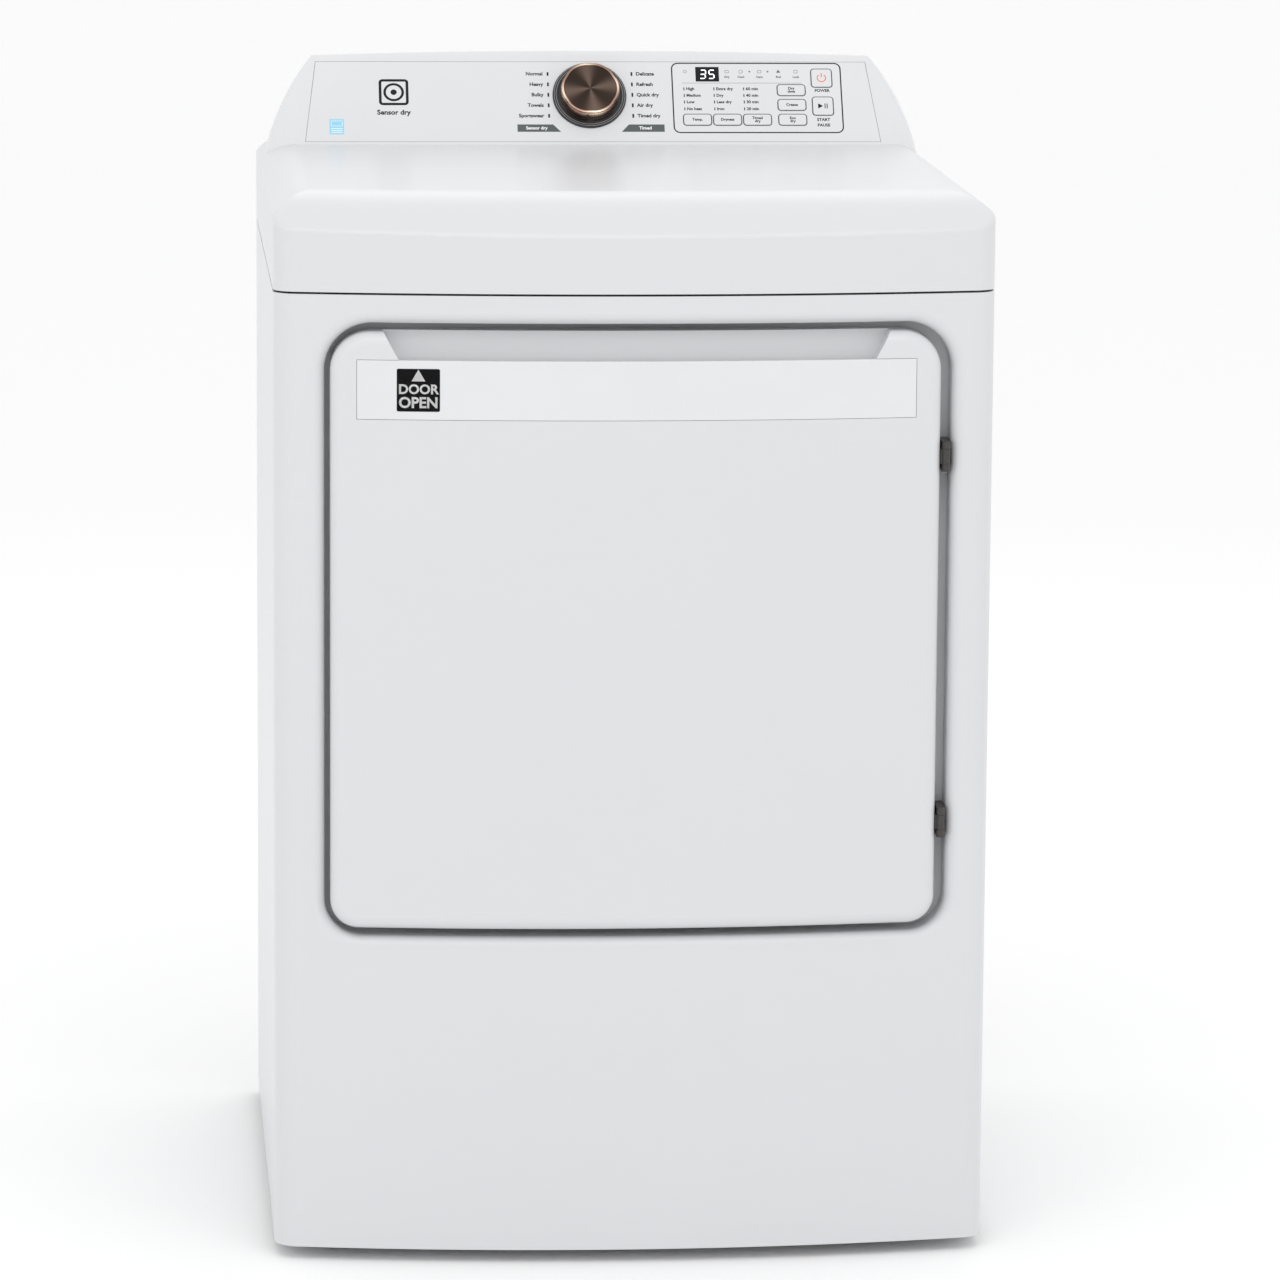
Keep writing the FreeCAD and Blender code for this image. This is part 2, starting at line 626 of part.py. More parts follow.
def console_solid():
    """Face plane and crowned, round-ended front view, crossed."""
    low = num(f"{FLAT} - 60")
    lean = math.tan(math.radians(num("face_tilt")))
    y_at = lambda z: num(FACE_Y) + (z - num(FLAT)) * lean
    high = num(f"{CONSOLE_TOP} + 12")
    rear = num(f"{REAR}")
    corners = [Vector(-500, y_at(low), low), Vector(-500, y_at(high), high), Vector(-500, rear, high),
               Vector(-500, rear, low)]
    leaning = Part.Face(Part.makePolygon(corners + corners[:1])).extrude(Vector(1000, 0, 0))
    half_low, half_high = num("console_half_base"), num("console_half_top")
    foot, top = num(f"{FLAT} - shoulder_drop"), num(CONSOLE_TOP)
    crown, belly = num("console_crown"), num("console_belly")
    slope = Vector(half_low - half_high, 0, foot - top).normalize()
    out = Vector(-slope.z, 0, slope.x)
    middle = Vector((half_low + half_high) / 2, -900, (foot + top) / 2) + out * belly
    mirrored = lambda v: Vector(-v.x, v.y, v.z)
    base, foot_, top_ = Vector(half_low, -900, low), Vector(half_low, -900,
                                                            foot), Vector(half_high, -900, top)
    outline = Part.Wire([
        Part.makeLine(base, foot_),
        Part.Arc(foot_, middle, top_).toShape(),
        Part.Arc(top_, Vector(0, -900, top + crown), mirrored(top_)).toShape(),
        Part.Arc(mirrored(top_), mirrored(middle), mirrored(foot_)).toShape(),
        Part.makeLine(mirrored(foot_), mirrored(base)),
        Part.makeLine(mirrored(base), base),
    ])
    fall = math.tan(math.radians(num("console_fall")))
    front_view = Part.Face(outline).extrude(Vector(0, 2000, -2000*fall))
    front_view.translate(Vector(0, 0, (y_at(top) + 900)*fall))
    return common(fixed(leaning, "leaning"), fixed(front_view, "front_view"))


def make_console():
    solid = console_solid()
    doc.recompute()
    tilt = math.radians(num("face_tilt"))
    normal = Vector(0, -math.cos(tilt), math.sin(tilt))
    origin = at("0", FACE_Y, FLAT)
    on_plane = lambda p: abs((p - origin).dot(normal)) < 0.05

    def face_edge(edge):
        return all(on_plane(edge.valueAt(t)) for t in (edge.FirstParameter, edge.LastParameter)) and \
            on_plane(edge.valueAt((edge.FirstParameter + edge.LastParameter) / 2))
    high = num(CONSOLE_TOP) - 1
    roll = lambda e: face_edge(e) and e.BoundBox.ZMin > high
    end = lambda e: face_edge(e) and e.BoundBox.ZLength > 50
    shape = doc.addObject("Part::Fillet", "console_shape")
    shape.Base = solid
    small, large = num("end_radius_high"), num("end_radius_low")
    edges = []
    for i, edge in enumerate(solid.Shape.Edges, 1):
        if roll(edge):
            edges.append((i, num("roll_radius"), num("roll_radius")))
        elif end(edge):
            rising = edge.valueAt(edge.LastParameter).z > edge.valueAt(edge.FirstParameter).z
            edges.append((i, large, small) if rising else (i, small, large))
    shape.Edges = edges
    # the machine's flat top carries it, and electronics sit inside
    seat = top_solid("0", f"{SEAM} + top_gap")
    wall = "console_wall"
    inside = doc.addObject("Part::Wedge", "inside")
    y_low = f"({FACE_Y} + {wall} + 5)"
    fall = f"({REAR} - {FACE_Y} - console_rise*tan(face_tilt))*tan(console_fall)"
    room = f"(console_rise - 2*{wall} - {fall})"
    bind(inside, Xmin="0", Ymin="0", Zmin="0", Xmax="2*console_half_top - 40", Ymax=room,
         Zmax=f"{REAR} - {y_low} - 2*{wall}", X2min="0", X2max="2*console_half_top - 40",
         Z2min=f"{room}*tan(face_tilt)", Z2max=f"{REAR} - {y_low} - 2*{wall}")
    # the wedge's own Y points up and its Z to the rear
    place(inside, "console_half_top - 20", y_low, f"{FLAT} + {wall}")
    inside.Placement.Rotation = Rotation(Vector(-1, 0, 0), Vector(0, 0, 1), Vector(0, 1, 0), "XYZ")
    bed = plate_on_face("trim_gap", "0", "-fascia_wall - trim_gap", "2")
    holes = [face_rod("ring_radius - 6", "knob_across", "knob_rise", "-30", "2"),
             face_box("display_across - 1", "display_across + display_length + 1",
                      "display_rise - 1", "display_rise + display_height + 1", "-30", "2")]
    for _, u, v, length, height in KEYS:
        holes.append(face_box(f"{u} - {length}/2 - 1", f"{u} + {length}/2 + 1", f"{v} - {height}/2 - 1",
                              f"{v} + {height}/2 + 1", "-30", "2"))
    node(cut(cut(shape, seat), inside, bed, *holes), "console_housing")


KEYS = [
    ("key_temperature", "key_first", "key_row_rise", "key_length", "key_height"),
    ("key_dryness", "(key_first + key_step)", "key_row_rise", "key_length", "key_height"),
    ("key_timed_dry", "(key_first + 2*key_step)", "key_row_rise", "key_length", "key_height"),
    ("key_eco_dry", "key_column", "key_row_rise", "key_length", "key_height"),
    ("key_wrinkle_care", "key_column", "(key_row_rise + key_rise_step)", "key_length", "key_height"),
    ("key_dry_time", "key_column", "(key_row_rise + 2*key_rise_step)", "key_length", "key_height"),
    ("key_start", "key_end", "start_rise", "key_square", "key_square"),
    ("key_power", "key_end", "power_rise", "key_square", "key_square"),
]


def plate_on_face(grow, lift, w0, w1):
    """The fascia's trapezium, grown by grow, from w0 to w1 out of the control face."""
    low, high = f"(fascia_half_low + {grow})", f"(fascia_half_high + {grow})"
    body = doc.addObject("PartDesign::Body", "fascia_plate")
    outline = [(f"-{low}", f"fascia_margin - {grow}"), (low, f"fascia_margin - {grow}"),
               (high, f"face_run - fascia_margin + {grow}"),
               (f"-{high}", f"face_run - fascia_margin + {grow}")]
    sketch = sketched(body, "XY_Plane", outline)
    pad = body.newObject("PartDesign::Pad", "pad")
    pad.Profile = (sketch, [""])
    pad.setExpression("Length", sized(f"({w1}) - ({w0})"))
    body.Tip = pad
    return on_face(body, "0", lift, w0)


def rounded_key(u, v, length, height, grow, w0, w1):
    block = face_box(f"{u} - {length}/2 - {grow}", f"{u} + {length}/2 + {grow}",
                     f"{v} - {height}/2 - {grow}", f"{v} + {height}/2 + {grow}", w0, w1)
    tilt = math.radians(num("face_tilt"))
    normal = Vector(0, -math.cos(tilt), math.sin(tilt))
    return rounded(block, (along(normal), f"key_corner + {grow}"))


def make_fascia():
    panel = plate_on_face("0", "0", "-fascia_wall", "0")
    holes = [rounded_key(u, v, length, height, "trim_gap", "-fascia_wall - 1", "1") for _, u, v, length,
             height in KEYS]
    holes.append(face_rod("encoder_radius + 2", "knob_across", "knob_rise", "-fascia_wall - 1", "1"))
    holes.append(face_box("display_across - trim_gap", "display_across + display_length + trim_gap",
                          "display_rise - trim_gap", "display_rise + display_height + trim_gap",
                          "-fascia_wall - 1", "1"))
    node(cut(panel, *holes), "control_fascia")
    for name, u, v, length, height in KEYS:
        cap = rounded_key(u, v, length, height, "0", "key_proud - key_thickness", "key_proud")
        tilt = math.radians(num("face_tilt"))
        normal = Vector(0, -math.cos(tilt), math.sin(tilt))
        origin = at("0", FACE_Y, FLAT) + normal * num("key_proud")
        doc.recompute()
        front = lambda e: abs((e.CenterOfMass - origin).dot(normal)) < 0.01
        node(rounded(cap, (front, "key_proud/2")), name)
    node(face_box("display_across", "display_across + display_length", "display_rise",
                  "display_rise + display_height", "-fascia_wall - 1", "-0.2"), "display_window")


def make_board():
    """The control board behind the fascia, with the rotary switch and its shaft."""
    card = face_box("-60", "262", "18", "90", "-14", "-12.4")
    switch = face_rod("9", "knob_across", "knob_rise", "-12.4", "-5")
    shaft = face_rod("encoder_radius", "knob_across", "knob_rise", "-5", "8")
    node(joined(card, switch, shaft), "control_board")


def make_knob():
    ring = [("encoder_radius + 2.5", "0.1"), ("ring_radius", "0.1"), ("ring_radius", "1.4"),
            ("ring_radius - 1.4", "ring_height"),
            ("knob_skirt + 1.2", "ring_height"), ("knob_skirt + 0.8", "1.2"), ("encoder_radius + 2.5", "1.2")]
    node(on_face(turned(ring, axis=Z, angle=0), "knob_across", "knob_rise", "0"), "knob_ring")
    low = "1.8"
    shape = [("encoder_radius + bore_clear", low), ("knob_skirt", low), ("knob_skirt", f"{low} + 4"),
             ("knob_radius", f"{low} + knob_length - 3"), ("knob_radius - 1.5", f"{low} + knob_length"),
             ("0", f"{low} + knob_length"), ("0", "9"), ("encoder_radius + bore_clear", "9")]
    node(on_face(turned(shape, axis=Z, angle=0), "knob_across", "knob_rise", "0"), "control_knob")


# ---------------------------------------------------------------- door

def door_block(grow, back):
    """The door's outside as a solid, faces set inwards by grow, with its edge rounded."""
    half = f"(door_width/2 - {grow})"
    z0, z1 = f"door_bottom + {grow}", f"{DOOR_TOP} - {grow}"
    front = f"({DOOR_FACE} + {grow})"
    block = bowed_block(f"-{half}", half, front, back, z0, z1, f"({BOW} + door_proud - {grow})")
    doc.recompute()
    edge, high, low = num(half), num(z1), num(z0)
    corner = lambda e, z: e.BoundBox.ZLength < 0.1 and abs(e.BoundBox.ZMin - z) < 0.1 and \
        e.BoundBox.XLength < 0.1 and abs(abs(e.BoundBox.XMin) - edge) < 0.1
    block = rounded(block, (lambda e: corner(e, high), f"door_top_radius - {grow}"),
                    (lambda e: corner(e, low), f"door_low_radius - {grow}"))
    doc.recompute()
    behind = num(back) - 1
    return rounded(block, (lambda e: e.BoundBox.YMax < num(f"{DOOR_FACE} + front_bow + {grow}") + 0.5
                           and e.BoundBox.YMax < behind, f"door_edge - {grow}"))


def bow_band(depth0, depth1, z0, z1):
    """A band that follows the door's face between two depths behind it."""
    centre = f"({DOOR_FACE} + {BOW} + door_proud)"
    outer = post(f"({BOW} + door_proud - ({depth0}))", z0, z1, "0", centre)
    inner = post(f"({BOW} + door_proud - ({depth1}))", f"{z0} - 1", f"{z1} + 1", "0", centre)
    return cut(outer, inner)


def strip_band(grow, gap, depth0, depth1):
    """The handle strip's space, grown by grow, with a gap round its edges."""
    band = bow_band(depth0, depth1, f"{DOOR_TOP} - strip_low - {gap} - {grow}",
                    f"{DOOR_TOP} - strip_high + {gap} + {grow}")
    half = f"(strip_half + {gap} + {grow})"
    return common(band, box(f"-{half}", half, f"{DOOR_FACE} - 10", f"{DOOR_FACE} + 60",
                            f"{DOOR_TOP} - strip_low - 20", f"{DOOR_TOP} - strip_high + 20"))


def scoop(grow):
    """The finger scoop above and behind the handle strip, grown by grow."""
    centre = num(DOOR_FACE) + num(BOW) + num("door_proud")
    edge = num(f"{DOOR_TOP} - strip_high + trim_gap")
    top = num(DOOR_TOP) + 8
    g = num(grow)
    skin, deep, reach = num("strip_wall + trim_gap"), num("grip_depth"), num("grip_reach")
    at_depth = lambda t, z: Vector(0, num(DOOR_FACE) + t, z)
    corners = [at_depth(-20, edge - g), at_depth(skin - g if g else skin, edge - g),
               at_depth(skin - g if g else skin, edge - reach - g),
               at_depth(deep + g, edge - reach - g), at_depth(deep + 2 + g, edge + g * 0.2),
               at_depth(deep + 9 + g, top), at_depth(-20, top)]
    lump = Part.Face(Part.makePolygon(corners + corners[:1])).revolve(Vector(0, centre, 0), Z, 40)
    lump.rotate(Vector(0, centre, 0), Z, -20)
    low_half, flare = num("grip_half"), num("grip_flare")
    z_low = edge - reach - 2 * g - 2
    spread = lambda z: low_half + g + flare * (z - edge) / (num(DOOR_TOP) - edge)
    ends = [Vector(-spread(z_low), -900, z_low), Vector(spread(z_low), -900, z_low),
            Vector(spread(top), -900, top),
            Vector(-spread(top), -900, top)]
    span = Part.Face(Part.makePolygon(ends + ends[:1])).extrude(Vector(0, 1800, 0))
    return fixed(lump.common(span), "scoop")


def make_door_outer():
    outer = cut(door_block("0", DOOR_BACK), strip_band("0", "trim_gap", "-5", "strip_wall + trim_gap"),
                scoop("0"))
    inner = cut(door_block("door_wall", f"{DOOR_BACK} + 5"),
                strip_band("door_wall", "trim_gap", "-5", "strip_wall + trim_gap + door_wall"),
                scoop("door_wall"))
    node(cut(outer, inner), "door_outer_panel")
    node(strip_band("0", "0", "0", "strip_wall"), "door_handle_strip")


def make_door_inner():
    half = "(door_width/2 - door_wall - 0.5)"
    y0, y1 = f"{DOOR_BACK} - inner_wall", DOOR_BACK
    block = box(f"-{half}", half, y0, y1, "door_bottom + door_wall + 0.5", f"{DOOR_TOP} - door_wall - 0.5")
    middle = num("door_bottom + door_height/2")
    block = rounded(block, (along(Y, lambda p: p.z > middle), "door_top_radius - door_wall"),
                    (along(Y, lambda p: p.z < middle), "door_low_radius - door_wall"))
    dish = [("0", "0"), ("plug_radius", "0"), ("plug_radius - 4", "plug_depth - 8"),
            ("plug_radius - 12", "plug_depth"),
            ("60", "plug_depth"), ("50", "plug_depth - 4"), ("0", "plug_depth - 4")]
    bulge = turned(dish, "0", DOOR_BACK, "axis_height")
    hollow = [("0", "0"), ("plug_radius - 2", "0"), ("plug_radius - 6", "inner_wall + plug_depth - 10"),
              ("plug_radius - 13", "plug_depth"), ("61", "plug_depth"), ("51", "plug_depth - 4"),
              ("0", "plug_depth - 4")]
    space = turned(hollow, "0", f"{DOOR_BACK} - inner_wall", "axis_height")
    node(cut(joined(block, bulge), space), "door_inner_panel")
    ring = [("seal_inner", "0"), ("seal_outer", "0"), ("seal_outer", "3"),
            ("seal_outer - 4", "door_clear - seal_clear"),
            ("seal_inner + 4", "door_clear - seal_clear"), ("seal_inner", "3")]
    node(turned(ring, "0", DOOR_BACK, "axis_height"), "door_seal")


def make_latch():
    x, z = "-latch_across", "axis_height"
    foot = box(f"{x} - 14", f"{x} + 14", DOOR_BACK, f"{DOOR_BACK} + 1.5", f"{z} - 24", f"{z} + 24")
    tongue = box(f"{x} - 2", f"{x} + 2", DOOR_BACK, f"{DOOR_BACK} + 28", f"{z} - 9", f"{z} + 9")
    eye = box(f"{x} - 5", f"{x} + 5", f"{DOOR_BACK} + 17", f"{DOOR_BACK} + 22", f"{z} - 5", f"{z} + 5")
    node(cut(joined(foot, tongue), eye), "door_strike")
    case = box(f"{x} - 13", f"{x} + 13", FLOOR_BACK, f"{FLOOR_BACK} + 30", f"{z} - 22", f"{z} + 22")
    mouth = box(f"{x} - 7", f"{x} + 7", f"{FLOOR_BACK} - 1", f"{FLOOR_BACK} + 26", f"{z} - 12", f"{z} + 12")
    node(cut(case, mouth), "door_catch")


def make_switch():
    x, z = "-switch_across", "switch_height"
    case = box(f"{x} - 10", f"{x} + 10", FLOOR_BACK, f"{FLOOR_BACK} + 24", f"{z} - 16", f"{z} + 16")
    node(cut(case, rod("3 + 0.3", f"{FLOOR_BACK} - 1", f"{FLOOR_BACK} + 18", x, z)), "door_switch")
    node(rod("3", f"{DOOR_BACK} + 0.3", f"{FLOOR_BACK} + 16", x, z), "switch_plunger")


def make_hinges():
    """Two hinges in the gap beside the door: a fixed fork with its pin, and a strap round the door's edge."""
    forks, straps = [], []
    arm_x0, arm_x1 = "door_width/2 + strap + 0.7", "door_width/2 + hinge_gap - 0.8"
    for height in ("hinge_high", "hinge_low"):
        low, high = f"({height} - hinge_length/2)", f"({height} + hinge_length/2)"
        third = "(hinge_length/4)"
        foot = box("door_width/2 - 24", "door_width/2 + hinge_gap - 0.8", f"{FLOOR} - 1.5", FLOOR, low, high)
        arms = []
        for z0, z1 in ((low, f"{low} + {third}"), (f"{high} - {third}", high)):
            arms.append(box(arm_x0, arm_x1, HINGE_Y, FLOOR, z0, z1))
            arms.append(post("knuckle_radius", z0, z1, HINGE_X, HINGE_Y))
        pin = post("pin_radius", low, high, HINGE_X, HINGE_Y)
        forks.append(joined(foot, *arms, pin))
        z0, z1 = f"{low} + {third} + 0.3", f"{high} - {third} - 0.3"
        barrel = post("knuckle_radius", z0, z1, HINGE_X, HINGE_Y)
        web = box("door_width/2 + 0.2", HINGE_X, f"{HINGE_Y} - strap/2", f"{HINGE_Y} + strap/2", z0, z1)
        side = box("door_width/2 + 0.2", "door_width/2 + 0.2 + strap", f"{HINGE_Y} - strap/2",
                   f"{DOOR_BACK} + 0.1 + strap",
                   z0, z1)
        tail = box("door_width/2 - 40", "door_width/2 + 0.2 + strap", f"{DOOR_BACK} + 0.1",
                   f"{DOOR_BACK} + 0.1 + strap", z0, z1)
        bore = post("pin_radius + bore_clear", f"{z0} - 1", f"{z1} + 1", HINGE_X, HINGE_Y)
        straps.append(cut(joined(barrel, web, side, tail), bore))
    node(group(*forks), "hinge_brackets")
    node(group(*straps), "door_hinge_straps")


# ---------------------------------------------------------------- drum and bulkheads

def make_front_bulkhead():
    """Throat of the opening, upright plate, and the collar that carries the drum's front felt."""
    board = box("-bulkhead_half", "bulkhead_half", BULKHEAD, f"{BULKHEAD} + panel_wall", "bulkhead_low",
                "bulkhead_high")
    sleeve = [("opening_radius", "0"), ("opening_radius + panel_wall", "0"),
              ("opening_radius + panel_wall", "throat"),
              ("collar_radius - panel_wall", "throat"), ("collar_radius - panel_wall",
                                                         "throat + panel_wall + collar_length"),
              ("collar_radius", "throat + panel_wall + collar_length"),
              ("collar_radius", "throat + panel_wall"),
              ("opening_radius", "throat + panel_wall")]
    throat = turned(sleeve, "0", FLOOR_BACK, "axis_height")
    hole = rod("opening_radius", f"{BULKHEAD} - 5", f"{BULKHEAD} + 5", "0", "axis_height")
    slot = box("-lint_half - lint_clear", "lint_half + lint_clear", f"{LINT} - lint_clear",
               f"{LINT} + lint_thick + lint_clear",
               "axis_height - opening_radius - 10", "axis_height - opening_radius*0.8")
    node(cut(joined(cut(board, hole), throat), slot), "front_bulkhead")
    bars = [box("-45", "45", f"{BULKHEAD} + panel_wall", f"{BULKHEAD} + panel_wall + 2.5", z, f"{z} + 8")
            for z in ("axis_height - opening_radius - 34", "axis_height - opening_radius - 52")]
    node(group(*bars), "moisture_sensor_bars")


def make_rear_bulkhead():
    board = box("-bulkhead_half", "bulkhead_half", REAR_BULKHEAD, f"{REAR_BULKHEAD} + panel_wall",
                "bulkhead_low", "bulkhead_high")
    ring = [("collar_radius - panel_wall", "0"), ("collar_radius", "0"), ("collar_radius", "collar_length"),
            ("collar_radius - panel_wall", "collar_length")]
    collar = turned(ring, "0", f"{REAR_BULKHEAD} - collar_length", "axis_height")
    holes = []
    for ring_ in range(1, 5):
        for step in range(6 * ring_):
            angle = step * 60.0 / ring_
            holes.append(rod("7", f"{REAR_BULKHEAD} - 5", f"{REAR_BULKHEAD} + 10",
                             f"heater_across + {ring_}*26*cos({angle})",
                             f"heater_height + {ring_}*26*sin({angle})"))
    node(cut(joined(board, collar), *holes), "rear_bulkhead")


def make_felts():
    ring = [("collar_radius + 0.2", "0"), ("drum_radius - drum_wall - run_clear", "0"),
            ("drum_radius - drum_wall - run_clear", "felt_length"), ("collar_radius + 0.2", "felt_length")]
    front = turned(ring, "0", f"{DRUM_FRONT} + 3", "axis_height")
    back = turned(ring, "0", f"{DRUM_BACK} - 3 - felt_length", "axis_height")
    node(group(front, back), "felt_seals")


def make_drum():
    length = f"({DRUM_BACK} - {DRUM_FRONT})"
    inner, outer = "(drum_radius - drum_wall)", "drum_radius"
    marks = []
    for share in ("0.2", "0.8"):
        middle = f"{length}*{share}"
        marks.append([(outer, f"{middle} - 9"), (f"{outer} + rib_height", f"{middle} - 5"),
                      (f"{outer} + rib_height", f"{middle} + 5"),
                      (outer, f"{middle} + 9")])
    outside = [(outer, "0")] + marks[0] + marks[1] + [(outer, length)]
    inside = [(inner, length)] + [(f"({r}) - drum_wall", y) for r,
                                  y in reversed(marks[0] + marks[1])] + [(inner, "0")]
    node(turned(outside + inside, "0", DRUM_FRONT, "axis_height"), "drum_shell")
    wall = num("drum_radius - drum_wall") - 0.2

    def lump(inset):
        foot, crest, high = (num(text) - inset for text in ("lifter_foot/2", "lifter_crest/2",
                                                            "lifter_height"))
        y0 = num(f"{DRUM_FRONT} + collar_length + 12") + inset
        y1 = num(f"{DRUM_BACK} - collar_length - 12") - inset
        base, knee = -wall - 5, -wall + num("lifter_height")*0.25
        corners = [Vector(-foot, y0, base), Vector(foot, y0, base), Vector(foot*0.8, y0, knee),
                   Vector(crest, y0, -wall + high), Vector(-crest, y0, -wall + high),
                   Vector(-foot*0.8, y0, knee)]
        prism = Part.Face(Part.makePolygon(corners + corners[:1])).extrude(Vector(0, y1 - y0, 0))
        return prism.makeFillet(9 - inset, [e for e in prism.Edges if e.CenterOfMass.z > knee + 1])
    bound = Part.makeCylinder(wall, 3000, Vector(0, -1500, 0), Y)
    lifter = lump(0).cut(lump(num("lifter_wall"))).common(bound)
    lifters = []
    for turn in (60, 180, 300):
        one = lifter.copy()
        one.rotate(Vector(), Y, turn)
        one.translate(Vector(0, 0, num("axis_height")))
        lifters.append(one)
    node(fixed(Part.makeCompound(lifters), "lifters"), "drum_lifters")


def roller_place(sign):
    reach = "(drum_radius + run_clear + roller_radius)"
    return f"{sign}{reach}*sin(roller_angle)", f"axis_height - {reach}*cos(roller_angle)"


def make_rollers():
    front = f"({REAR_BULKHEAD} - 34 - roller_width)"
    shafts = []
    for name, sign in (("left", "-"), ("right", "")):
        x, z = roller_place(sign)
        tread = [("axle_radius + bore_clear", "0"), ("axle_radius + 6", "0"), ("axle_radius + 6", "3"),
                 ("roller_radius - 8", "3"),
                 ("roller_radius - 6", "0"), ("roller_radius - 1", "0"), ("roller_radius", "1"),
                 ("roller_radius", "roller_width - 1"),
                 ("roller_radius - 1", "roller_width"), ("roller_radius - 6", "roller_width"),
                 ("roller_radius - 8", "roller_width - 3"),
                 ("axle_radius + 6", "roller_width - 3"), ("axle_radius + 6", "roller_width"),
                 ("axle_radius + bore_clear", "roller_width")]
        node(turned(tread, x, front, z), f"drum_roller_{name}")
        pin = [("0", "0"), ("axle_radius", "0"), ("axle_radius", f"{REAR_BULKHEAD} - {front} - 3"),
               ("axle_radius + 8", f"{REAR_BULKHEAD} - {front} - 3"),
               ("axle_radius + 8", f"{REAR_BULKHEAD} - {front} + 4"), ("0", f"{REAR_BULKHEAD} - {front} + 4")]
        shafts.append(turned(pin, x, f"{front} - 4", z))
    node(group(*shafts), "roller_shafts")


def make_heater():
    depth = "(rear_space - panel_wall - 8)"
    pan = [("heater_radius - 1", "0"), ("heater_radius + 12", "0"), ("heater_radius + 12", "1"),
           ("heater_radius", "1"), ("heater_radius", depth),
           ("40", depth), ("40", f"{depth} - 1"), ("heater_radius - 1", f"{depth} - 1")]
    node(turned(pan, "heater_across", f"{REAR_BULKHEAD} + panel_wall", "heater_height"), "heater_housing")
    y = f"({REAR_BULKHEAD} + panel_wall + {depth}/2)"
    rings = []
    for radius in ("62", "88", "114"):
        ring = doc.addObject("Part::Torus", "coil")
        bind(ring, Radius1=radius, Radius2="4")
        rings.append(place(ring, "heater_across", y, "heater_height", X, 90))
    bars = [box("heater_across - 124", "heater_across - 50", f"{y} - 3", f"{y} + 3", "heater_height - 5",
                "heater_height + 5"),
            box("heater_across + 50", "heater_across + 124", f"{y} - 3", f"{y} + 3", "heater_height - 5",
                "heater_height + 5"),
            box("heater_across - 5", "heater_across + 5", f"{y} - 3", f"{y} + 3", "heater_height + 50",
                "heater_height + 124")]
    legs = [rod("5", f"{REAR_BULKHEAD} + panel_wall", y, x, z)
            for x, z in (("heater_across - 124", "heater_height"), ("heater_across + 124",
                                                                    "heater_height"),
                         ("heater_across", "heater_height + 124"))]
    node(joined(*rings, *bars, *legs), "heater_coil")


# ---------------------------------------------------------------- air path

def make_lint():
    low, wall = "(motor_height - 58)", "panel_wall"
    right = "(motor_across + 58)"

    def outline(inset, top):
        side = f"(lint_half + lint_clear + panel_wall - {inset})"
        left = f"(motor_across - 58 + {inset})"
        return [(f"-{side}", top), (f"-{side}", f"{LINT_LOW} - 6 + {inset}"),
                (left, f"motor_height - 5 + {inset}"),
                (left, f"{low} + {inset}"), (f"{right} - {inset}", f"{low} + {inset}"),
                (f"{right} - {inset}", f"{LINT_LOW} + 20"), (side, f"{LINT_LOW} + 78"), (side, top)]
    top = "axis_height - opening_radius*0.9"
    outer = plate(outline("0", top), DUCT_FRONT, DUCT_BACK)
    inner = plate(outline(wall, f"{top} + 5"), f"{DUCT_FRONT} + {wall}", f"{DUCT_BACK} - {wall}")
    opening = rod(f"opening_radius + {wall} + 0.05", f"{DUCT_FRONT} - 5", f"{DUCT_BACK} + 5", "0",
                  "axis_height")
    inlet = rod("inlet_radius", f"{DUCT_BACK} - 5", f"{DUCT_BACK} + 5", "motor_across", "motor_height")
    node(cut(outer, inner, opening, inlet), "lint_duct")
    # the filter: a frame round a fine mesh, with a finger bar along its top
    y0, y1 = LINT, f"{LINT} + lint_thick"
    low, high = f"{LINT_LOW} + 9", f"{LINT_TOP} - 22"
    body = box("-lint_half", "lint_half", y0, y1, LINT_LOW, LINT_TOP)
    window = box("-lint_half + 9", "lint_half - 9", f"{y0} - 1", f"{y1} + 1", low, high)
    mesh = box("-lint_half + 9", "lint_half - 9", f"{y0} + 5", f"{y0} + 6", low, high)
    ribs = [box(f"{x} - 1.5", f"{x} + 1.5", f"{y0} + 2", f"{y1} - 2", low, high)
            for x in ("-lint_half/3", "lint_half/3")]
    grip = box("-38", "38", f"{y0} + 3", f"{y1} - 3", LINT_TOP, f"{LINT_TOP} + 7")
    node(joined(cut(body, window), mesh, *ribs, grip), "lint_filter")


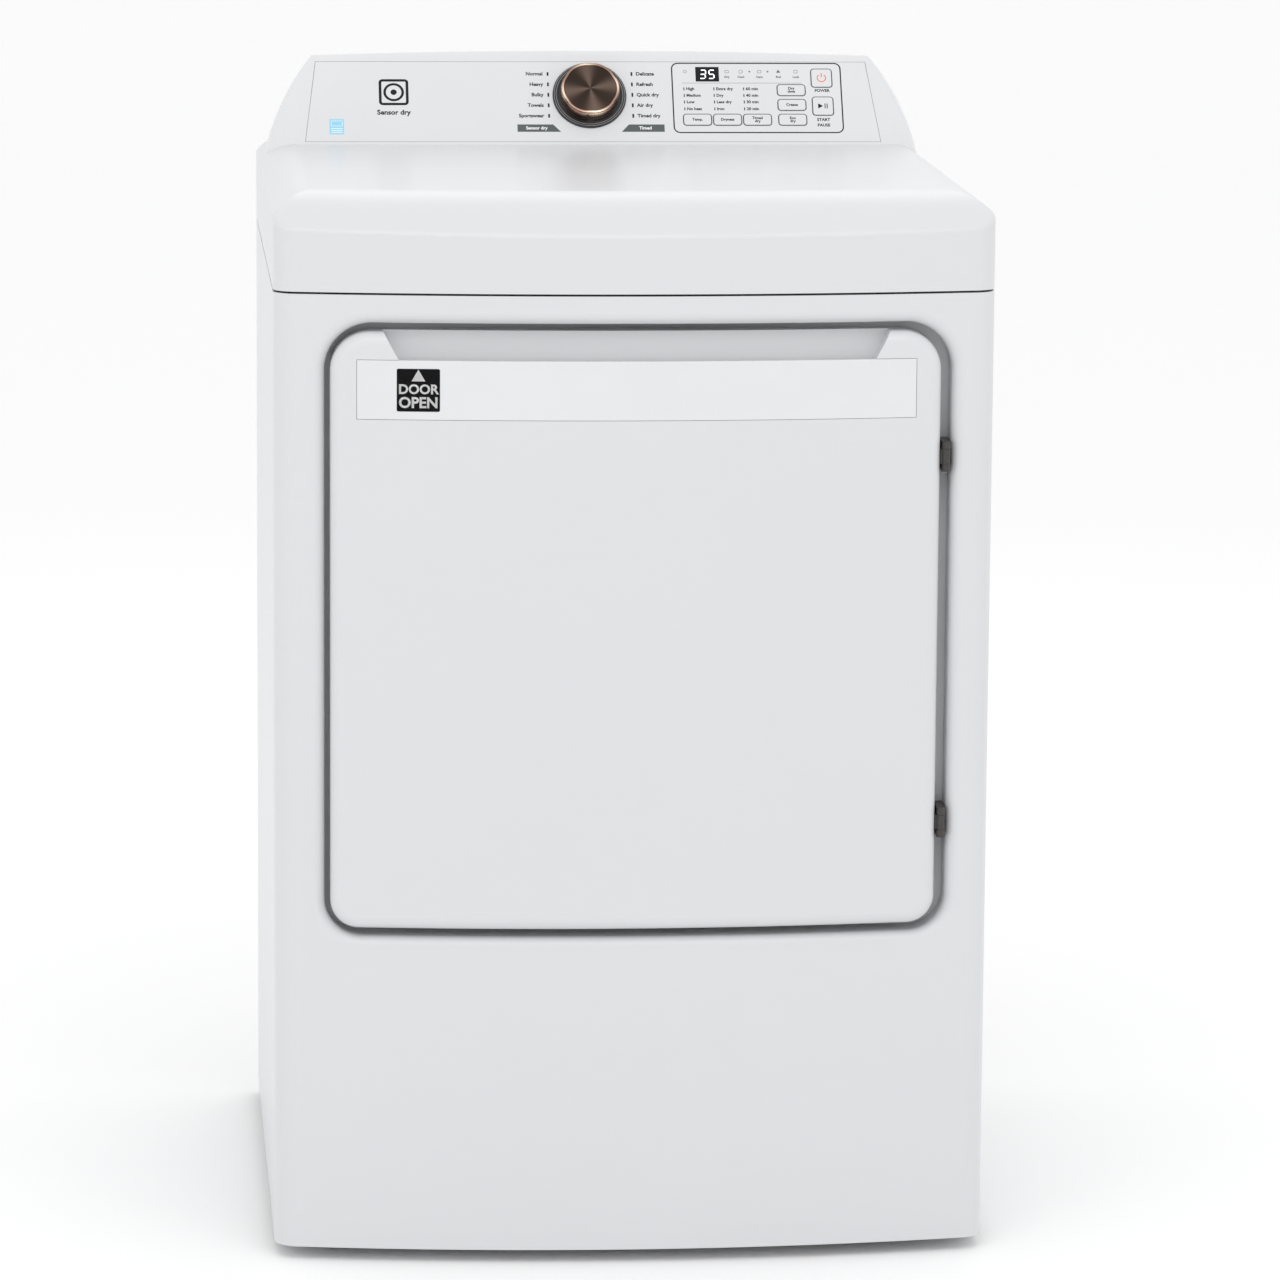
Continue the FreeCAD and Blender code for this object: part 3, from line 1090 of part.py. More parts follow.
def make_blower():
    x, z = "motor_across", "motor_height"
    y0, y1 = DUCT_BACK, f"({DUCT_BACK} + scroll_depth)"
    wall = "2"

    def scroll(inset):
        a, b = f"{y0} + {inset}", f"{y1} - {inset}"
        return joined(rod(f"scroll_radius - {inset}", a, b, x, z),
                      box(f"duct_across - 58 + {inset}", x, a, b, f"{z} - scroll_radius + {inset}",
                          f"duct_height + 58 - {inset}"))
    holes = [rod("inlet_radius", f"{y0} - 5", f"{y0} + 5", x, z),
             rod("shaft_radius + 2", f"{y1} - 5", f"{y1} + 5", x, z),
             rod("duct_radius - 2", f"{y1} - 5", f"{y1} + 5", "duct_across", "duct_height")]
    node(cut(scroll("0"), scroll(wall), *holes), "blower_housing")
    deep = "(scroll_depth - 18)"
    hub = [("shaft_radius", "0"), ("16", "0"), ("16", f"{deep} - 4"), ("wheel_radius", f"{deep} - 4"),
           ("wheel_radius", deep), ("shaft_radius", deep)]
    front = f"({y0} + 8)"
    wheel = turned(hub, x, front, z)
    ring = turned([("wheel_radius - 4", "0"), ("wheel_radius", "0"), ("wheel_radius", "4"),
                   ("wheel_radius - 4", "4")], x, front, z)
    centre = at(x, front, z)
    outer, length = num("wheel_radius"), num(deep)
    blades = []
    for step in range(20):
        blade = Part.makeBox(20, length - 2, 1.8, Vector(outer - 21, 1, -0.9))
        blade.rotate(Vector(outer, 0, 0), Y, 25)
        blade.rotate(Vector(), Y, step * 18)
        blades.append(blade)
    fins = blades[0].multiFuse(blades[1:])
    fins.translate(centre)
    fins = fins.common(Part.makeCylinder(outer - 0.5, length, centre, Y))
    node(joined(wheel, ring, fixed(fins, "blades")), "blower_wheel")
    pipe = [("duct_radius - 2.2", "0"), ("duct_radius - 0.8", "0"), ("duct_radius - 0.8",
                                                                     f"{REAR} - {y1} + 0.6"),
            ("duct_radius", f"{REAR} - {y1} + 1"),
            ("duct_radius", f"depth/2 - {y1}"), ("duct_radius - 1.4", f"depth/2 - {y1}"),
            ("duct_radius - 1.4", f"{REAR} - {y1} + 0.6"),
            ("duct_radius - 2.2", f"{REAR} - {y1}")]
    node(turned(pipe, "duct_across", y1, "duct_height"), "exhaust_pipe")


# ---------------------------------------------------------------- drive

def make_motor():
    x, z = "motor_across", "motor_height"
    case = [("shaft_radius + bore_clear", "0"), ("22", "0"), ("22", "8"), ("motor_radius - 8", "8"),
            ("motor_radius", "20"), ("motor_radius", "motor_length - 20"),
            ("motor_radius - 8", "motor_length - 8"), ("22", "motor_length - 8"), ("22", "motor_length"),
            ("shaft_radius + bore_clear", "motor_length")]
    node(turned(case, x, MOTOR, z), "motor_case")
    start = f"({DUCT_BACK} + 12)"
    run = lambda y: f"({y} - {start})"
    belt0, belt1 = f"{BELT} - belt_width", f"{BELT} + belt_width"
    shaft = [("0", "0"), ("shaft_radius", "0"), ("shaft_radius", run(belt0)),
             ("pulley_radius + 4", run(belt0)), ("pulley_radius + 4", run(f"{belt0} + 2")),
             ("pulley_radius", run(f"{belt0} + 3")), ("pulley_radius", run(f"{belt1} - 3")),
             ("pulley_radius + 4", run(f"{belt1} - 2")),
             ("pulley_radius + 4", run(belt1)), ("0", run(belt1))]
    node(turned(shaft, x, start, z), "motor_shaft")
    # cradle: a foot plate and two saddles, the rear one carrying the idler pivot
    foot = box(f"{x} - 78", f"{x} + 70", f"{MOTOR} + 22", f"{MOTOR_BACK} - 22", PAN_TOP, f"{PAN_TOP} + 2")
    saddles = [box(f"{x} - 68", f"{x} + 66", y, f"{y} + 3", PAN_TOP,
                   f"{z} - 8") for y in (f"{MOTOR} + 24", f"{MOTOR_BACK} - 27")]
    pin = rod("4", f"{MOTOR_BACK} - 27", f"{MOTOR_BACK} + 17", "pivot_across", "pivot_height")
    bed = rod("motor_radius + 0.05", f"{MOTOR}", f"{MOTOR_BACK}", x, z)
    node(joined(cut(joined(foot, *saddles), bed), pin), "motor_cradle")


def make_idler():
    arm0, arm1 = f"({MOTOR_BACK} + 9)", f"({MOTOR_BACK} + 12)"
    pivot, axle = at("pivot_across", arm0, "pivot_height"), at("idler_across", arm0, "idler_height")
    tail = at("spring_across", arm0, "pivot_height - 8")

    def link(p, q, radius):
        side = (q - p).normalize().cross(Y) * radius
        flat = Part.Face(Part.makePolygon([p + side, q + side, q - side, p - side,
                                           p + side])).extrude(Vector(0, 3, 0))
        return [flat, Part.makeCylinder(radius, 3, p, Y), Part.makeCylinder(radius, 3, q, Y)]
    blank = link(pivot, axle, 9) + link(pivot, tail, 7)
    arm = fixed(blank[0].multiFuse(blank[1:]).removeSplitter(), "arm_blank")
    bore = rod("4 + bore_clear", f"{arm0} - 5", f"{arm1} + 5", "pivot_across", "pivot_height")
    eye = rod("2", f"{arm0} - 5", f"{arm1} + 5", "spring_across", "pivot_height - 8")
    stud = rod("axle_radius", arm0, f"{BELT} + 12", "idler_across", "idler_height")
    node(joined(cut(arm, bore, eye), stud), "idler_arm")
    groove = [("axle_radius + bore_clear", "0"), ("idler_radius + 3", "0"), ("idler_radius + 3", "2"),
              ("idler_radius", "3"),
              ("idler_radius", "2*belt_width - 5"), ("idler_radius + 3", "2*belt_width - 4"),
              ("idler_radius + 3", "2*belt_width - 2"),
              ("axle_radius + bore_clear", "2*belt_width - 2")]
    node(turned(groove, "idler_across", f"{BELT} - belt_width + 1", "idler_height"), "idler_pulley")
    # tension spring, upright between the arm's tail and the base pan
    low, high = num(f"{PAN_TOP} + spring_wire + 0.5"), num("pivot_height - 8 - 7 - spring_wire - 0.5")
    turns = 12
    coil = Part.makeHelix((high - low) / turns, high - low, num("spring_radius"))
    start = Vector(num("spring_radius"), 0, 0)
    wire = Part.Wire(Part.makeCircle(num("spring_wire"), start, Vector(0, 1, 0)))
    spring = Part.Wire(coil.Edges).makePipeShell([wire], True, True)
    spring.translate(at("spring_across", f"{arm0} + 1.5", "0") + Vector(0, 0, low))
    node(fixed(spring, "spring"), "tension_spring")


def make_belt():
    """The loop round drum and motor pulley, with the idler pressing on its back."""
    gap, thick = num("run_clear"), num("belt_thick")
    wheels = [(0.0, num("axis_height"), num("drum_radius") + gap, 1),
              (num("idler_across"), num("idler_height"), num("idler_radius") + gap, -1),
              (num("motor_across"), num("motor_height"), num("pulley_radius") + gap, 1)]
    y0 = num(f"{BELT} - belt_width/2")

    def loop(extra):
        rings = [(x, z, r + (extra if s > 0 else thick - extra), s) for x, z, r, s in wheels]
        spots = []
        for i, (x1, z1, r1, s1) in enumerate(rings):
            x2, z2, r2, s2 = rings[(i + 1) % len(rings)]
            away = math.hypot(x2 - x1, z2 - z1)
            heading = math.atan2(z2 - z1, x2 - x1) - math.asin((s2 * r2 - s1 * r1) / away)
            nx, nz = -math.sin(heading), math.cos(heading)
            spots.append((Vector(x1 - s1 * r1 * nx, y0, z1 - s1 * r1 * nz),
                          Vector(x2 - s2 * r2 * nx, y0, z2 - s2 * r2 * nz)))
        edges = []
        for i, (x, z, r, s) in enumerate(rings):
            arrive, leave = spots[i - 1][1], spots[i][0]
            a0, a1 = math.atan2(arrive.z - z, arrive.x - x), math.atan2(leave.z - z, leave.x - x)
            while s * (a1 - a0) <= 0:
                a1 += s * 2 * math.pi
            mid = (a0 + a1) / 2
            edges.append(Part.Arc(arrive, Vector(x + r * math.cos(mid), y0, z + r * math.sin(mid)),
                                  leave).toShape())
            edges.append(Part.makeLine(leave, spots[i][1]))
        return Part.Wire(edges)
    band = Part.Face(loop(thick)).cut(Part.Face(loop(0))).extrude(Vector(0, num("belt_width"), 0))
    node(fixed(band, "belt"), "drive_belt")


# ---------------------------------------------------------------- rear fittings

def make_terminals():
    x = "cord_across"
    block = box(f"{x} - 38", f"{x} + 38", f"{REAR} - sheet - 24", f"{REAR} - sheet", "cord_height + 40",
                "cord_height + 100")
    studs = [rod("4", f"{REAR} - sheet - 1", f"{REAR} + 8", f"{x} + {step}",
                 "cord_height + 70") for step in (-24, 0, 24)]
    node(joined(block, *studs), "terminal_block")
    y0 = f"({REAR})"
    shell = box(f"{x} - 55", f"{x} + 55", y0, f"{y0} + 18", "cord_height + 34", "cord_height + 106")
    hollow = box(f"{x} - 53.5", f"{x} + 53.5", f"{y0} - 1", f"{y0} + 16.5", "cord_height + 35.5",
                 "cord_height + 104.5")
    node(cut(shell, hollow), "terminal_cover")


def make_screws():
    heads = []
    head = [("0", "0"), ("4.5", "0"), ("4.5", "1"), ("3", "2.4"), ("0", "2.4")]
    for x in ("-width/2 + 9", "width/2 - 9"):
        for share in (0.03, 0.27, 0.5, 0.73, 0.97):
            heads.append(turned(head, x, REAR, f"foot_height + panel_height*{share}"))
    for x in ("-width/4", "width/4"):
        heads.append(turned(head, x, REAR, f"{SEAM} - 9"))
    node(group(*heads), "cabinet_screws")


def make_all():
    make_front_panel()
    side_panel("left_side_panel", -1)
    side_panel("right_side_panel", 1)
    make_base_pan()
    make_feet()
    make_rear_panel()
    make_top_panel()
    make_console()
    make_fascia()
    make_board()
    make_knob()
    make_door_outer()
    make_door_inner()
    make_latch()
    make_switch()
    make_hinges()
    make_front_bulkhead()
    make_rear_bulkhead()
    make_felts()
    make_drum()
    make_rollers()
    make_heater()
    make_lint()
    make_blower()
    make_motor()
    make_idler()
    make_belt()
    make_terminals()
    make_screws()


make_all()
doc.recompute()
bad = [o.Name for o in doc.Objects if {"Invalid", "Error"} & set(o.State)]
for thing in NODES:
    shape = thing.Shape
    if shape.isNull() or not shape.isValid() or not shape.Solids or shape.Volume <= 0:
        bad.append(thing.Label)
if bad:
    raise SystemExit(f"failed: {bad}")
os.makedirs("parts", exist_ok=True)
for old in os.listdir("parts"):
    os.remove(os.path.join("parts", old))
for thing in NODES:
    thing.Shape.exportStep(f"parts/{thing.Label}.step")
print(len(NODES), "sub-parts")
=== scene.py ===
"""Clothes dryer: finishes, knob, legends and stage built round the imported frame."""
import json
import math

import bpy
from bpy.props import FloatProperty, FloatVectorProperty, PointerProperty
from mathutils import Matrix, Vector


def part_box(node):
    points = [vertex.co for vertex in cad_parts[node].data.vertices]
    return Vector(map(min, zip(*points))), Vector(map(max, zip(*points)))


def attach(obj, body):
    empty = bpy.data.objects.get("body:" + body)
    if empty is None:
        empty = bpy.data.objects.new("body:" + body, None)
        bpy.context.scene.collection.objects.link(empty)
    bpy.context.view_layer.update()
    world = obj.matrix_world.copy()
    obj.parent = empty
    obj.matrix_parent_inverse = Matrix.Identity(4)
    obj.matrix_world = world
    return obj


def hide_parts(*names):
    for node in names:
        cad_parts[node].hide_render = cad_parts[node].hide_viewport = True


bl_info = {
    "name": "Clothes dryer",
    "version": (1, 0, 0),
    "blender": (4, 5, 0),
    "location": "3D View > Sidebar > Dryer",
    "description": "Finishes, knob, legends and studio for a clothes dryer",
    "category": "Add Mesh",
}

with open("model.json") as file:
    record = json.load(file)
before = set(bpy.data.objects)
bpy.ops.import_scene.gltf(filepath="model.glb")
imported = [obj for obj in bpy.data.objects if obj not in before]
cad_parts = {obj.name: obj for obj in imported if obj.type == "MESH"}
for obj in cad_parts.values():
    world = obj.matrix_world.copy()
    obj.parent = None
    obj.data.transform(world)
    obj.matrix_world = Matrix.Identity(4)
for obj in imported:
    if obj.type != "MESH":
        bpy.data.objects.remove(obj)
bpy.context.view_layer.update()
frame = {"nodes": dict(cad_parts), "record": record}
NODES = frame["nodes"]
SLOTS = {part["node"]: part["material_slot"] for part in frame["record"]["subparts"]}
BODIES = frame["record"]["behaviour"]["bodies"]
BODY_OF = {node: body for body, nodes in BODIES.items() for node in nodes}
KEY_NAMES = [name for name in NODES if name.startswith("key_")]


# ---------------------------------------------------------------- settings

class FaceSizes(bpy.types.PropertyGroup):
    """Where the sloping control face stands."""
    foot_y: FloatProperty(name="Foot depth", description="Depth of the face's lower edge",
                          default=0.212, unit="LENGTH")
    foot_z: FloatProperty(name="Foot height", description="Height of the face's lower edge",
                          default=1.025, unit="LENGTH")
    lean: FloatProperty(name="Lean", description="How far the face leans back from upright",
                        default=math.radians(34), subtype="ANGLE")
    ink: FloatProperty(name="Ink thickness", description="How far printing stands on the face",
                       default=0.00006, unit="LENGTH")


class KnobSizes(bpy.types.PropertyGroup):
    """The programme knob."""
    across: FloatProperty(name="Across", description="Centre of the knob across the face",
                          default=-0.003, unit="LENGTH")
    rise: FloatProperty(name="Rise", description="Centre of the knob up the face",
                        default=0.057, unit="LENGTH")
    radius: FloatProperty(name="Radius", description="Half width of the knob over its rounded corners",
                          default=0.0312, unit="LENGTH")
    foot: FloatProperty(name="Foot", description="Gap between the face and the knob",
                        default=0.0018, unit="LENGTH")
    length: FloatProperty(name="Length", description="Height of the knob", default=0.0152, unit="LENGTH")
    rim: FloatProperty(name="Rim", description="Width of the polished rim", default=0.0016, unit="LENGTH")


class FinishColours(bpy.types.PropertyGroup):
    """Colours of the main finishes."""
    enamel: FloatVectorProperty(name="Enamel", description="Casing enamel",
                                default=(0.66, 0.668, 0.685), subtype="COLOR")
    plastic: FloatVectorProperty(name="Plastic", description="White mouldings",
                                 default=(0.71, 0.718, 0.732), subtype="COLOR")
    ink: FloatVectorProperty(name="Ink", description="Printed legends",
                             default=(0.012, 0.012, 0.014), subtype="COLOR")
    pale_ink: FloatVectorProperty(name="Pale ink", description="Printed banners",
                                  default=(0.1, 0.115, 0.115), subtype="COLOR")
    signal: FloatVectorProperty(name="Signal", description="Power symbol",
                                default=(0.8, 0.13, 0.03), subtype="COLOR")
    bronze: FloatVectorProperty(name="Bronze", description="Brushed face of the knob",
                                default=(0.064, 0.045, 0.036), subtype="COLOR")
    copper: FloatVectorProperty(name="Copper", description="Polished rim of the knob",
                                default=(0.6, 0.36, 0.275), subtype="COLOR")
    label: FloatVectorProperty(name="Label", description="Pale blue label",
                               default=(0.3, 0.62, 0.78), subtype="COLOR")


class StudioSizes(bpy.types.PropertyGroup):
    """Camera and lights."""
    target: FloatVectorProperty(name="Target", description="Point the camera looks at",
                                default=(0.03346, 0, 0.54503), subtype="TRANSLATION", unit="LENGTH")
    distance: FloatProperty(name="Distance", description="Camera to target", default=6.6114, unit="LENGTH")
    azimuth: FloatProperty(name="Azimuth", description="Camera angle round the machine",
                           default=math.radians(-4.66747), subtype="ANGLE")
    elevation: FloatProperty(name="Elevation", description="Camera angle above level",
                             default=math.radians(9.45888), subtype="ANGLE")
    roll: FloatProperty(name="Roll", description="Turn about the line of sight",
                        default=math.radians(0.42057), subtype="ANGLE")
    lens: FloatProperty(name="Lens", description="Focal length in millimetres", default=184.8)
    room: FloatProperty(name="Room light", description="Strength of the even light", default=1.0)


class DryerSettings(bpy.types.PropertyGroup):
    """All settings of the dryer."""
    face: PointerProperty(type=FaceSizes)
    knob: PointerProperty(type=KnobSizes)
    colours: PointerProperty(type=FinishColours)
    studio: PointerProperty(type=StudioSizes)


def settings():
    """The scene's dryer settings."""
    return bpy.context.scene.dryer


# ---------------------------------------------------------------- shader maths

class Wire:
    """An output of a shader node that can be added, subtracted and multiplied."""

    def __init__(self, finish, socket):
        self.finish = finish
        self.socket = socket

    def maths(self, operation, *values):
        """A Math node on these values."""
        return self.finish.node("ShaderNodeMath", {"operation": operation}, dict(enumerate(values)))

    def __add__(self, other):
        return self.maths("ADD", self, other)

    def __radd__(self, other):
        return self.maths("ADD", other, self)

    def __sub__(self, other):
        return self.maths("SUBTRACT", self, other)

    def __rsub__(self, other):
        return self.maths("SUBTRACT", other, self)

    def __mul__(self, other):
        return self.maths("MULTIPLY", self, other)

    def __rmul__(self, other):
        return self.maths("MULTIPLY", other, self)


class Finish:
    """A material with one Principled shader."""

    def __init__(self, name, colour, roughness, metallic=0.0, **constants):
        self.material = bpy.data.materials.new(name)
        self.material.use_nodes = True
        self.tree = self.material.node_tree
        self.shader = self.tree.nodes["Principled BSDF"]
        self.material.diffuse_color = (*colour, 1)
        self.set("Base Color", (*colour, 1))
        self.set("Roughness", roughness)
        self.set("Metallic", metallic)
        for socket, value in constants.items():
            self.set(socket.replace("_", " "), value)
        self.colour = colour

    def node(self, kind, options=None, inputs=None, output=0):
        """Adds one node, with its options set first, and gives one of its outputs."""
        made = self.tree.nodes.new(kind)
        for option, value in (options or {}).items():
            setattr(made, option, value)
        for key, value in (inputs or {}).items():
            if isinstance(value, Wire):
                self.tree.links.new(value.socket, made.inputs[key])
            else:
                made.inputs[key].default_value = value
        return Wire(self, made.outputs[output])

    def set(self, socket, value):
        """Sets or links one socket of the shader."""
        if isinstance(value, Wire):
            self.tree.links.new(value.socket, self.shader.inputs[socket])
        else:
            self.shader.inputs[socket].default_value = value

    def place(self, stretch=(1, 1, 1), turn=(0, 0, 0)):
        """Object coordinates, turned and stretched."""
        here = self.node("ShaderNodeTexCoord", output="Object")
        return self.node("ShaderNodeMapping", {"vector_type": "POINT"},
                         {"Vector": here, "Scale": stretch, "Rotation": turn})

    def noise(self, scale, detail=2.0, stretch=(1, 1, 1)):
        """Noise at so many cells per metre."""
        return self.node("ShaderNodeTexNoise", {},
                         {"Vector": self.place(stretch), "Scale": scale, "Detail": detail})

    def mix(self, factor, low, high):
        """A colour between two colours."""
        shade = [value if isinstance(value, Wire) else (*value, 1) for value in (low, high)]
        return self.node("ShaderNodeMix", {"data_type": "RGBA"}, {0: factor, 6: shade[0], 7: shade[1]}, 2)

    def bump(self, height, depth, strength=1.0):
        """Relief of so many metres."""
        self.set("Normal", self.node("ShaderNodeBump", {},
                                     {"Height": height, "Distance": depth, "Strength": strength}))

    def tint(self, amount, scale, stretch=(1, 1, 1)):
        """A slight drift of the colour over the surface."""
        deep = [c * (1 - amount) for c in self.colour]
        light = [min(1, c * (1 + amount * 0.4)) for c in self.colour]
        self.set("Base Color", self.mix(self.noise(scale, 3, stretch), deep, light))


def enamel(name, colour, roughness=0.33):
    """Baked gloss enamel: faint orange peel under a clear skin."""
    made = Finish(name, colour, roughness, Coat_Roughness=0.2, Specular_IOR_Level=0.5)
    made.set("Coat Weight", 0.2)
    made.tint(0.012, 5)
    made.set("Roughness", made.noise(30, 3) * 0.06 + (roughness - 0.03))
    made.bump(made.noise(260, 2), 0.000008, 0.2)
    return made


def moulded(name, colour, roughness=0.3, grain=0.00002, coat=0.0):
    """Injection-moulded plastic with a fine grain."""
    made = Finish(name, colour, roughness, Coat_Roughness=0.1)
    made.set("Coat Weight", coat)
    made.tint(0.03, 14)
    made.set("Roughness", made.noise(90, 4) * 0.1 + (roughness - 0.05))
    made.bump(made.noise(1400, 2), grain, 0.4)
    return made


def galvanised(name, colour, spangle=160):
    """Zinc-coated sheet with its crystal pattern."""
    made = Finish(name, colour, 0.38, 1.0)
    cells = made.node("ShaderNodeTexVoronoi", {}, {"Vector": made.place(), "Scale": spangle}, "Color")
    flake = made.node("ShaderNodeSeparateColor", {}, {"Color": cells})
    dull = [c * 0.8 for c in colour]
    made.set("Base Color", made.mix(flake, dull, colour))
    made.set("Roughness", flake * 0.16 + 0.3 + made.noise(40, 4) * 0.1)
    made.bump(made.noise(700, 3), 0.00003, 0.3)
    return made


def brushed(name, colour, stretch=(1, 30, 1), roughness=0.32):
    """Drawn or ground metal with lines across it."""
    made = Finish(name, colour, roughness, 1.0)
    lines = made.noise(500, 3, stretch)
    made.set("Base Color", made.mix(lines, [c * 0.82 for c in colour], colour))
    made.set("Roughness", lines * 0.2 + (roughness - 0.1))
    made.bump(lines, 0.00001, 0.4)
    return made


def rubbery(name, colour, ribs=None):
    """Matte rubber with a dusty bloom, ribbed where asked."""
    made = Finish(name, colour, 0.7, Specular_IOR_Level=0.3)
    bloom = made.noise(60, 5)
    made.set("Base Color", made.mix(bloom, colour, [c * 1.5 + 0.01 for c in colour]))
    made.set("Roughness", bloom * 0.2 + 0.6)
    if ribs:
        wave = made.node("ShaderNodeTexWave", {"bands_direction": "Y"},
                         {"Vector": made.place(), "Scale": ribs})
        made.bump(wave, 0.0004, 0.6)
    else:
        made.bump(made.noise(900, 3), 0.00005, 0.5)
    return made


def felted(name, colour):
    """Pressed wool felt."""
    made = Finish(name, colour, 0.95, Sheen_Weight=0.4, Sheen_Roughness=0.6)
    fibre = made.noise(900, 6, (1, 3, 1))
    made.set("Base Color", made.mix(fibre, [c * 0.7 for c in colour], colour))
    made.bump(fibre, 0.0004, 0.7)
    return made


LATHE_LINES = 2600
# painted highlight: how many bright wedges go round the knob, and how far they are turned; they paint the
# brushed metal's reflection into the base colour
HIGHLIGHT_WEDGES = 4
HIGHLIGHT_TURN = 0.9


def radial(name, colour, centre, face_turn, roughness=0.3):
    """Metal brushed in a circle about the knob's axis, with bright and dark wedges of painted reflection in
    its base colour.
    """
    made = Finish(name, colour, roughness, 1.0)
    here = made.node("ShaderNodeTexCoord", output="Object")
    moved = made.node("ShaderNodeVectorMath", {"operation": "SUBTRACT"}, {0: here, 1: centre})
    flat = made.node("ShaderNodeVectorRotate", {"rotation_type": "X_AXIS"},
                     {"Vector": moved, "Angle": -face_turn})
    across, up = [made.node("ShaderNodeSeparateXYZ", {}, {"Vector": flat}, axis) for axis in range(2)]
    square = across * across + up * up
    radius = square.maths("SQRT", square)
    angle = up.maths("ARCTAN2", up, across)
    rings = made.node("ShaderNodeTexNoise", {"noise_dimensions": "1D"},
                      {"W": radius * LATHE_LINES, "Scale": 1.0, "Detail": 2.0})
    # painted highlight: the base colour is made lighter and darker by angle round the axis, as the circular
    # brushing's reflection
    wedge_highlight = angle.maths("SINE", angle * HIGHLIGHT_WEDGES + HIGHLIGHT_TURN) * 0.5 + 0.5
    made.set("Base Color", made.mix(wedge_highlight * wedge_highlight, [c * 0.6 for c in colour], [min(1, c * 2.1) for c in colour]))
    made.set("Roughness", rings * 0.16 + (roughness - 0.06))
    made.bump(rings, 0.00002, 0.5)
    return made


def printed(name, colour, roughness=0.45):
    """Screen-printed ink, very slightly uneven."""
    made = Finish(name, colour, roughness, Specular_IOR_Level=0.15)
    cover = made.noise(1800, 2)
    made.set("Base Color", made.mix(cover, colour, [c * 1.12 + 0.004 for c in colour]))
    made.set("Roughness", cover * 0.12 + (roughness - 0.05))
    return made


def lit(name, colour, strength):
    """A lit segment or lamp."""
    made = Finish(name, colour, 0.4, Emission_Strength=strength)
    glow = made.noise(300, 1)
    made.set("Emission Color", made.mix(glow, colour, [min(1, c * 1.08) for c in colour]))
    return made


def motor_shell(name, colour):
    """Cast end bells with the laminated stack between them."""
    made = Finish(name, colour, 0.5, 1.0)
    layers = made.node("ShaderNodeTexWave", {"bands_direction": "Y"},
                       {"Vector": made.place(), "Scale": 320.0})
    cast = made.noise(220, 5)
    made.set("Base Color", made.mix(cast, [c * 0.7 for c in colour], colour))
    made.set("Roughness", cast * 0.3 + 0.35)
    made.bump(layers * 0.4 + cast, 0.0002, 0.5)
    return made


def circuit(name, colour):
    """Green lacquer over copper tracks."""
    made = Finish(name, colour, 0.35)
    level = made.place(turn=(math.radians(-34), 0, 0))
    tracks = made.node("ShaderNodeTexBrick", {}, {"Vector": level, "Scale": 90.0, "Mortar Size": 0.03}, "Fac")
    made.set("Base Color", made.mix(tracks, colour, [c * 1.9 for c in colour]))
    made.set("Roughness", made.noise(60) * 0.1 + 0.3)
    return made


def dark_glass(name, colour):
    """Smoked window over the display."""
    made = Finish(name, colour, 0.12, Specular_IOR_Level=0.25)
    made.set("Roughness", made.noise(50, 2) * 0.04 + 0.06)
    return made


FINISHES = {}


def make_finishes():
    """Every finish of the machine by the name of its slot."""
    tones = settings().colours
    knob = settings().knob
    face_turn = math.pi / 2 - settings().face.lean
    centre = face_matrix() @ Vector((knob.across, knob.rise, 0))
    FINISHES.update({
        "white_enamel": enamel("white_enamel_gloss", tones.enamel),
        "white_plastic": moulded("white_moulding", tones.plastic, 0.24, 0.00001, 0.25),
        "galvanised_steel": galvanised("galvanised_sheet", (0.62, 0.63, 0.64)),
        "drum_enamel": enamel("drum_powder_coat", (0.66, 0.67, 0.68), 0.38),
        "grey_plastic": moulded("grey_moulding", (0.34, 0.35, 0.37), 0.5, 0.00006),
        "grey_rubber": rubbery("grey_seal", (0.09, 0.09, 0.095)),
        "roller_rubber": rubbery("roller_tyre", (0.03, 0.03, 0.03)),
        "belt_rubber": rubbery("belt_ribs", (0.02, 0.02, 0.02), 120.0),
        "felt": felted("wool_felt", (0.5, 0.47, 0.43)),
        "motor_metal": motor_shell("motor_shell", (0.5, 0.51, 0.52)),
        "heater_wire": brushed("heater_wire_oxide", (0.28, 0.22, 0.19), (1, 1, 1), 0.6),
        "hinge_metal": enamel("hinge_dark_paint", (0.035, 0.03, 0.028), 0.42),
        "bronze_finish": radial("bronze_brushed", tones.bronze, centre, face_turn),
        "copper_rim": radial("copper_polished", tones.copper, centre, face_turn, 0.16),
        "dark_gloss": moulded("dark_ring", (0.02, 0.021, 0.024), 0.22, 0.00001),
        "display_glass": dark_glass("smoked_window", (0.006, 0.006, 0.008)),
        "board": circuit("circuit_board", (0.02, 0.12, 0.05)),
        "spring_steel": brushed("spring_wire", (0.5, 0.5, 0.51), (1, 1, 1), 0.3),
        "foot_steel": galvanised("foot_zinc", (0.4, 0.4, 0.41), 300),
        "ink": printed("legend_ink", tones.ink),
        "pale_ink": printed("banner_ink", tones.pale_ink),
        "white_ink": printed("white_ink", (0.86, 0.86, 0.86)),
        "ring_ink": printed("ring_ink", (0.32, 0.32, 0.33)),
        "signal_ink": printed("signal_ink", tones.signal),
        "blue_label": printed("blue_label", tones.label, 0.35),
        "black_label": printed("black_label", (0.008, 0.008, 0.009), 0.25),
        "digit_light": lit("digit_light", (0.95, 0.97, 1.0), 1.1),
    })


# ---------------------------------------------------------------- modelling helpers

def only(*pieces):
    """Selects just these objects, the last one active."""
    if bpy.context.mode != "OBJECT":
        bpy.ops.object.mode_set(mode="OBJECT")
    bpy.ops.object.select_all(action="DESELECT")
    for piece in pieces:
        piece.select_set(True)
    bpy.context.view_layer.objects.active = pieces[-1]


def face_matrix():
    """From flat face coordinates (across, up, out) to the sloping control face."""
    face = settings().face
    across = Vector((1, 0, 0))
    up = Vector((0, math.sin(face.lean), math.cos(face.lean)))
    out = Vector((0, -math.cos(face.lean), math.sin(face.lean)))
    turn = Matrix((across, up, out)).transposed().to_4x4()
    return Matrix.Translation((0, face.foot_y, face.foot_z)) @ turn


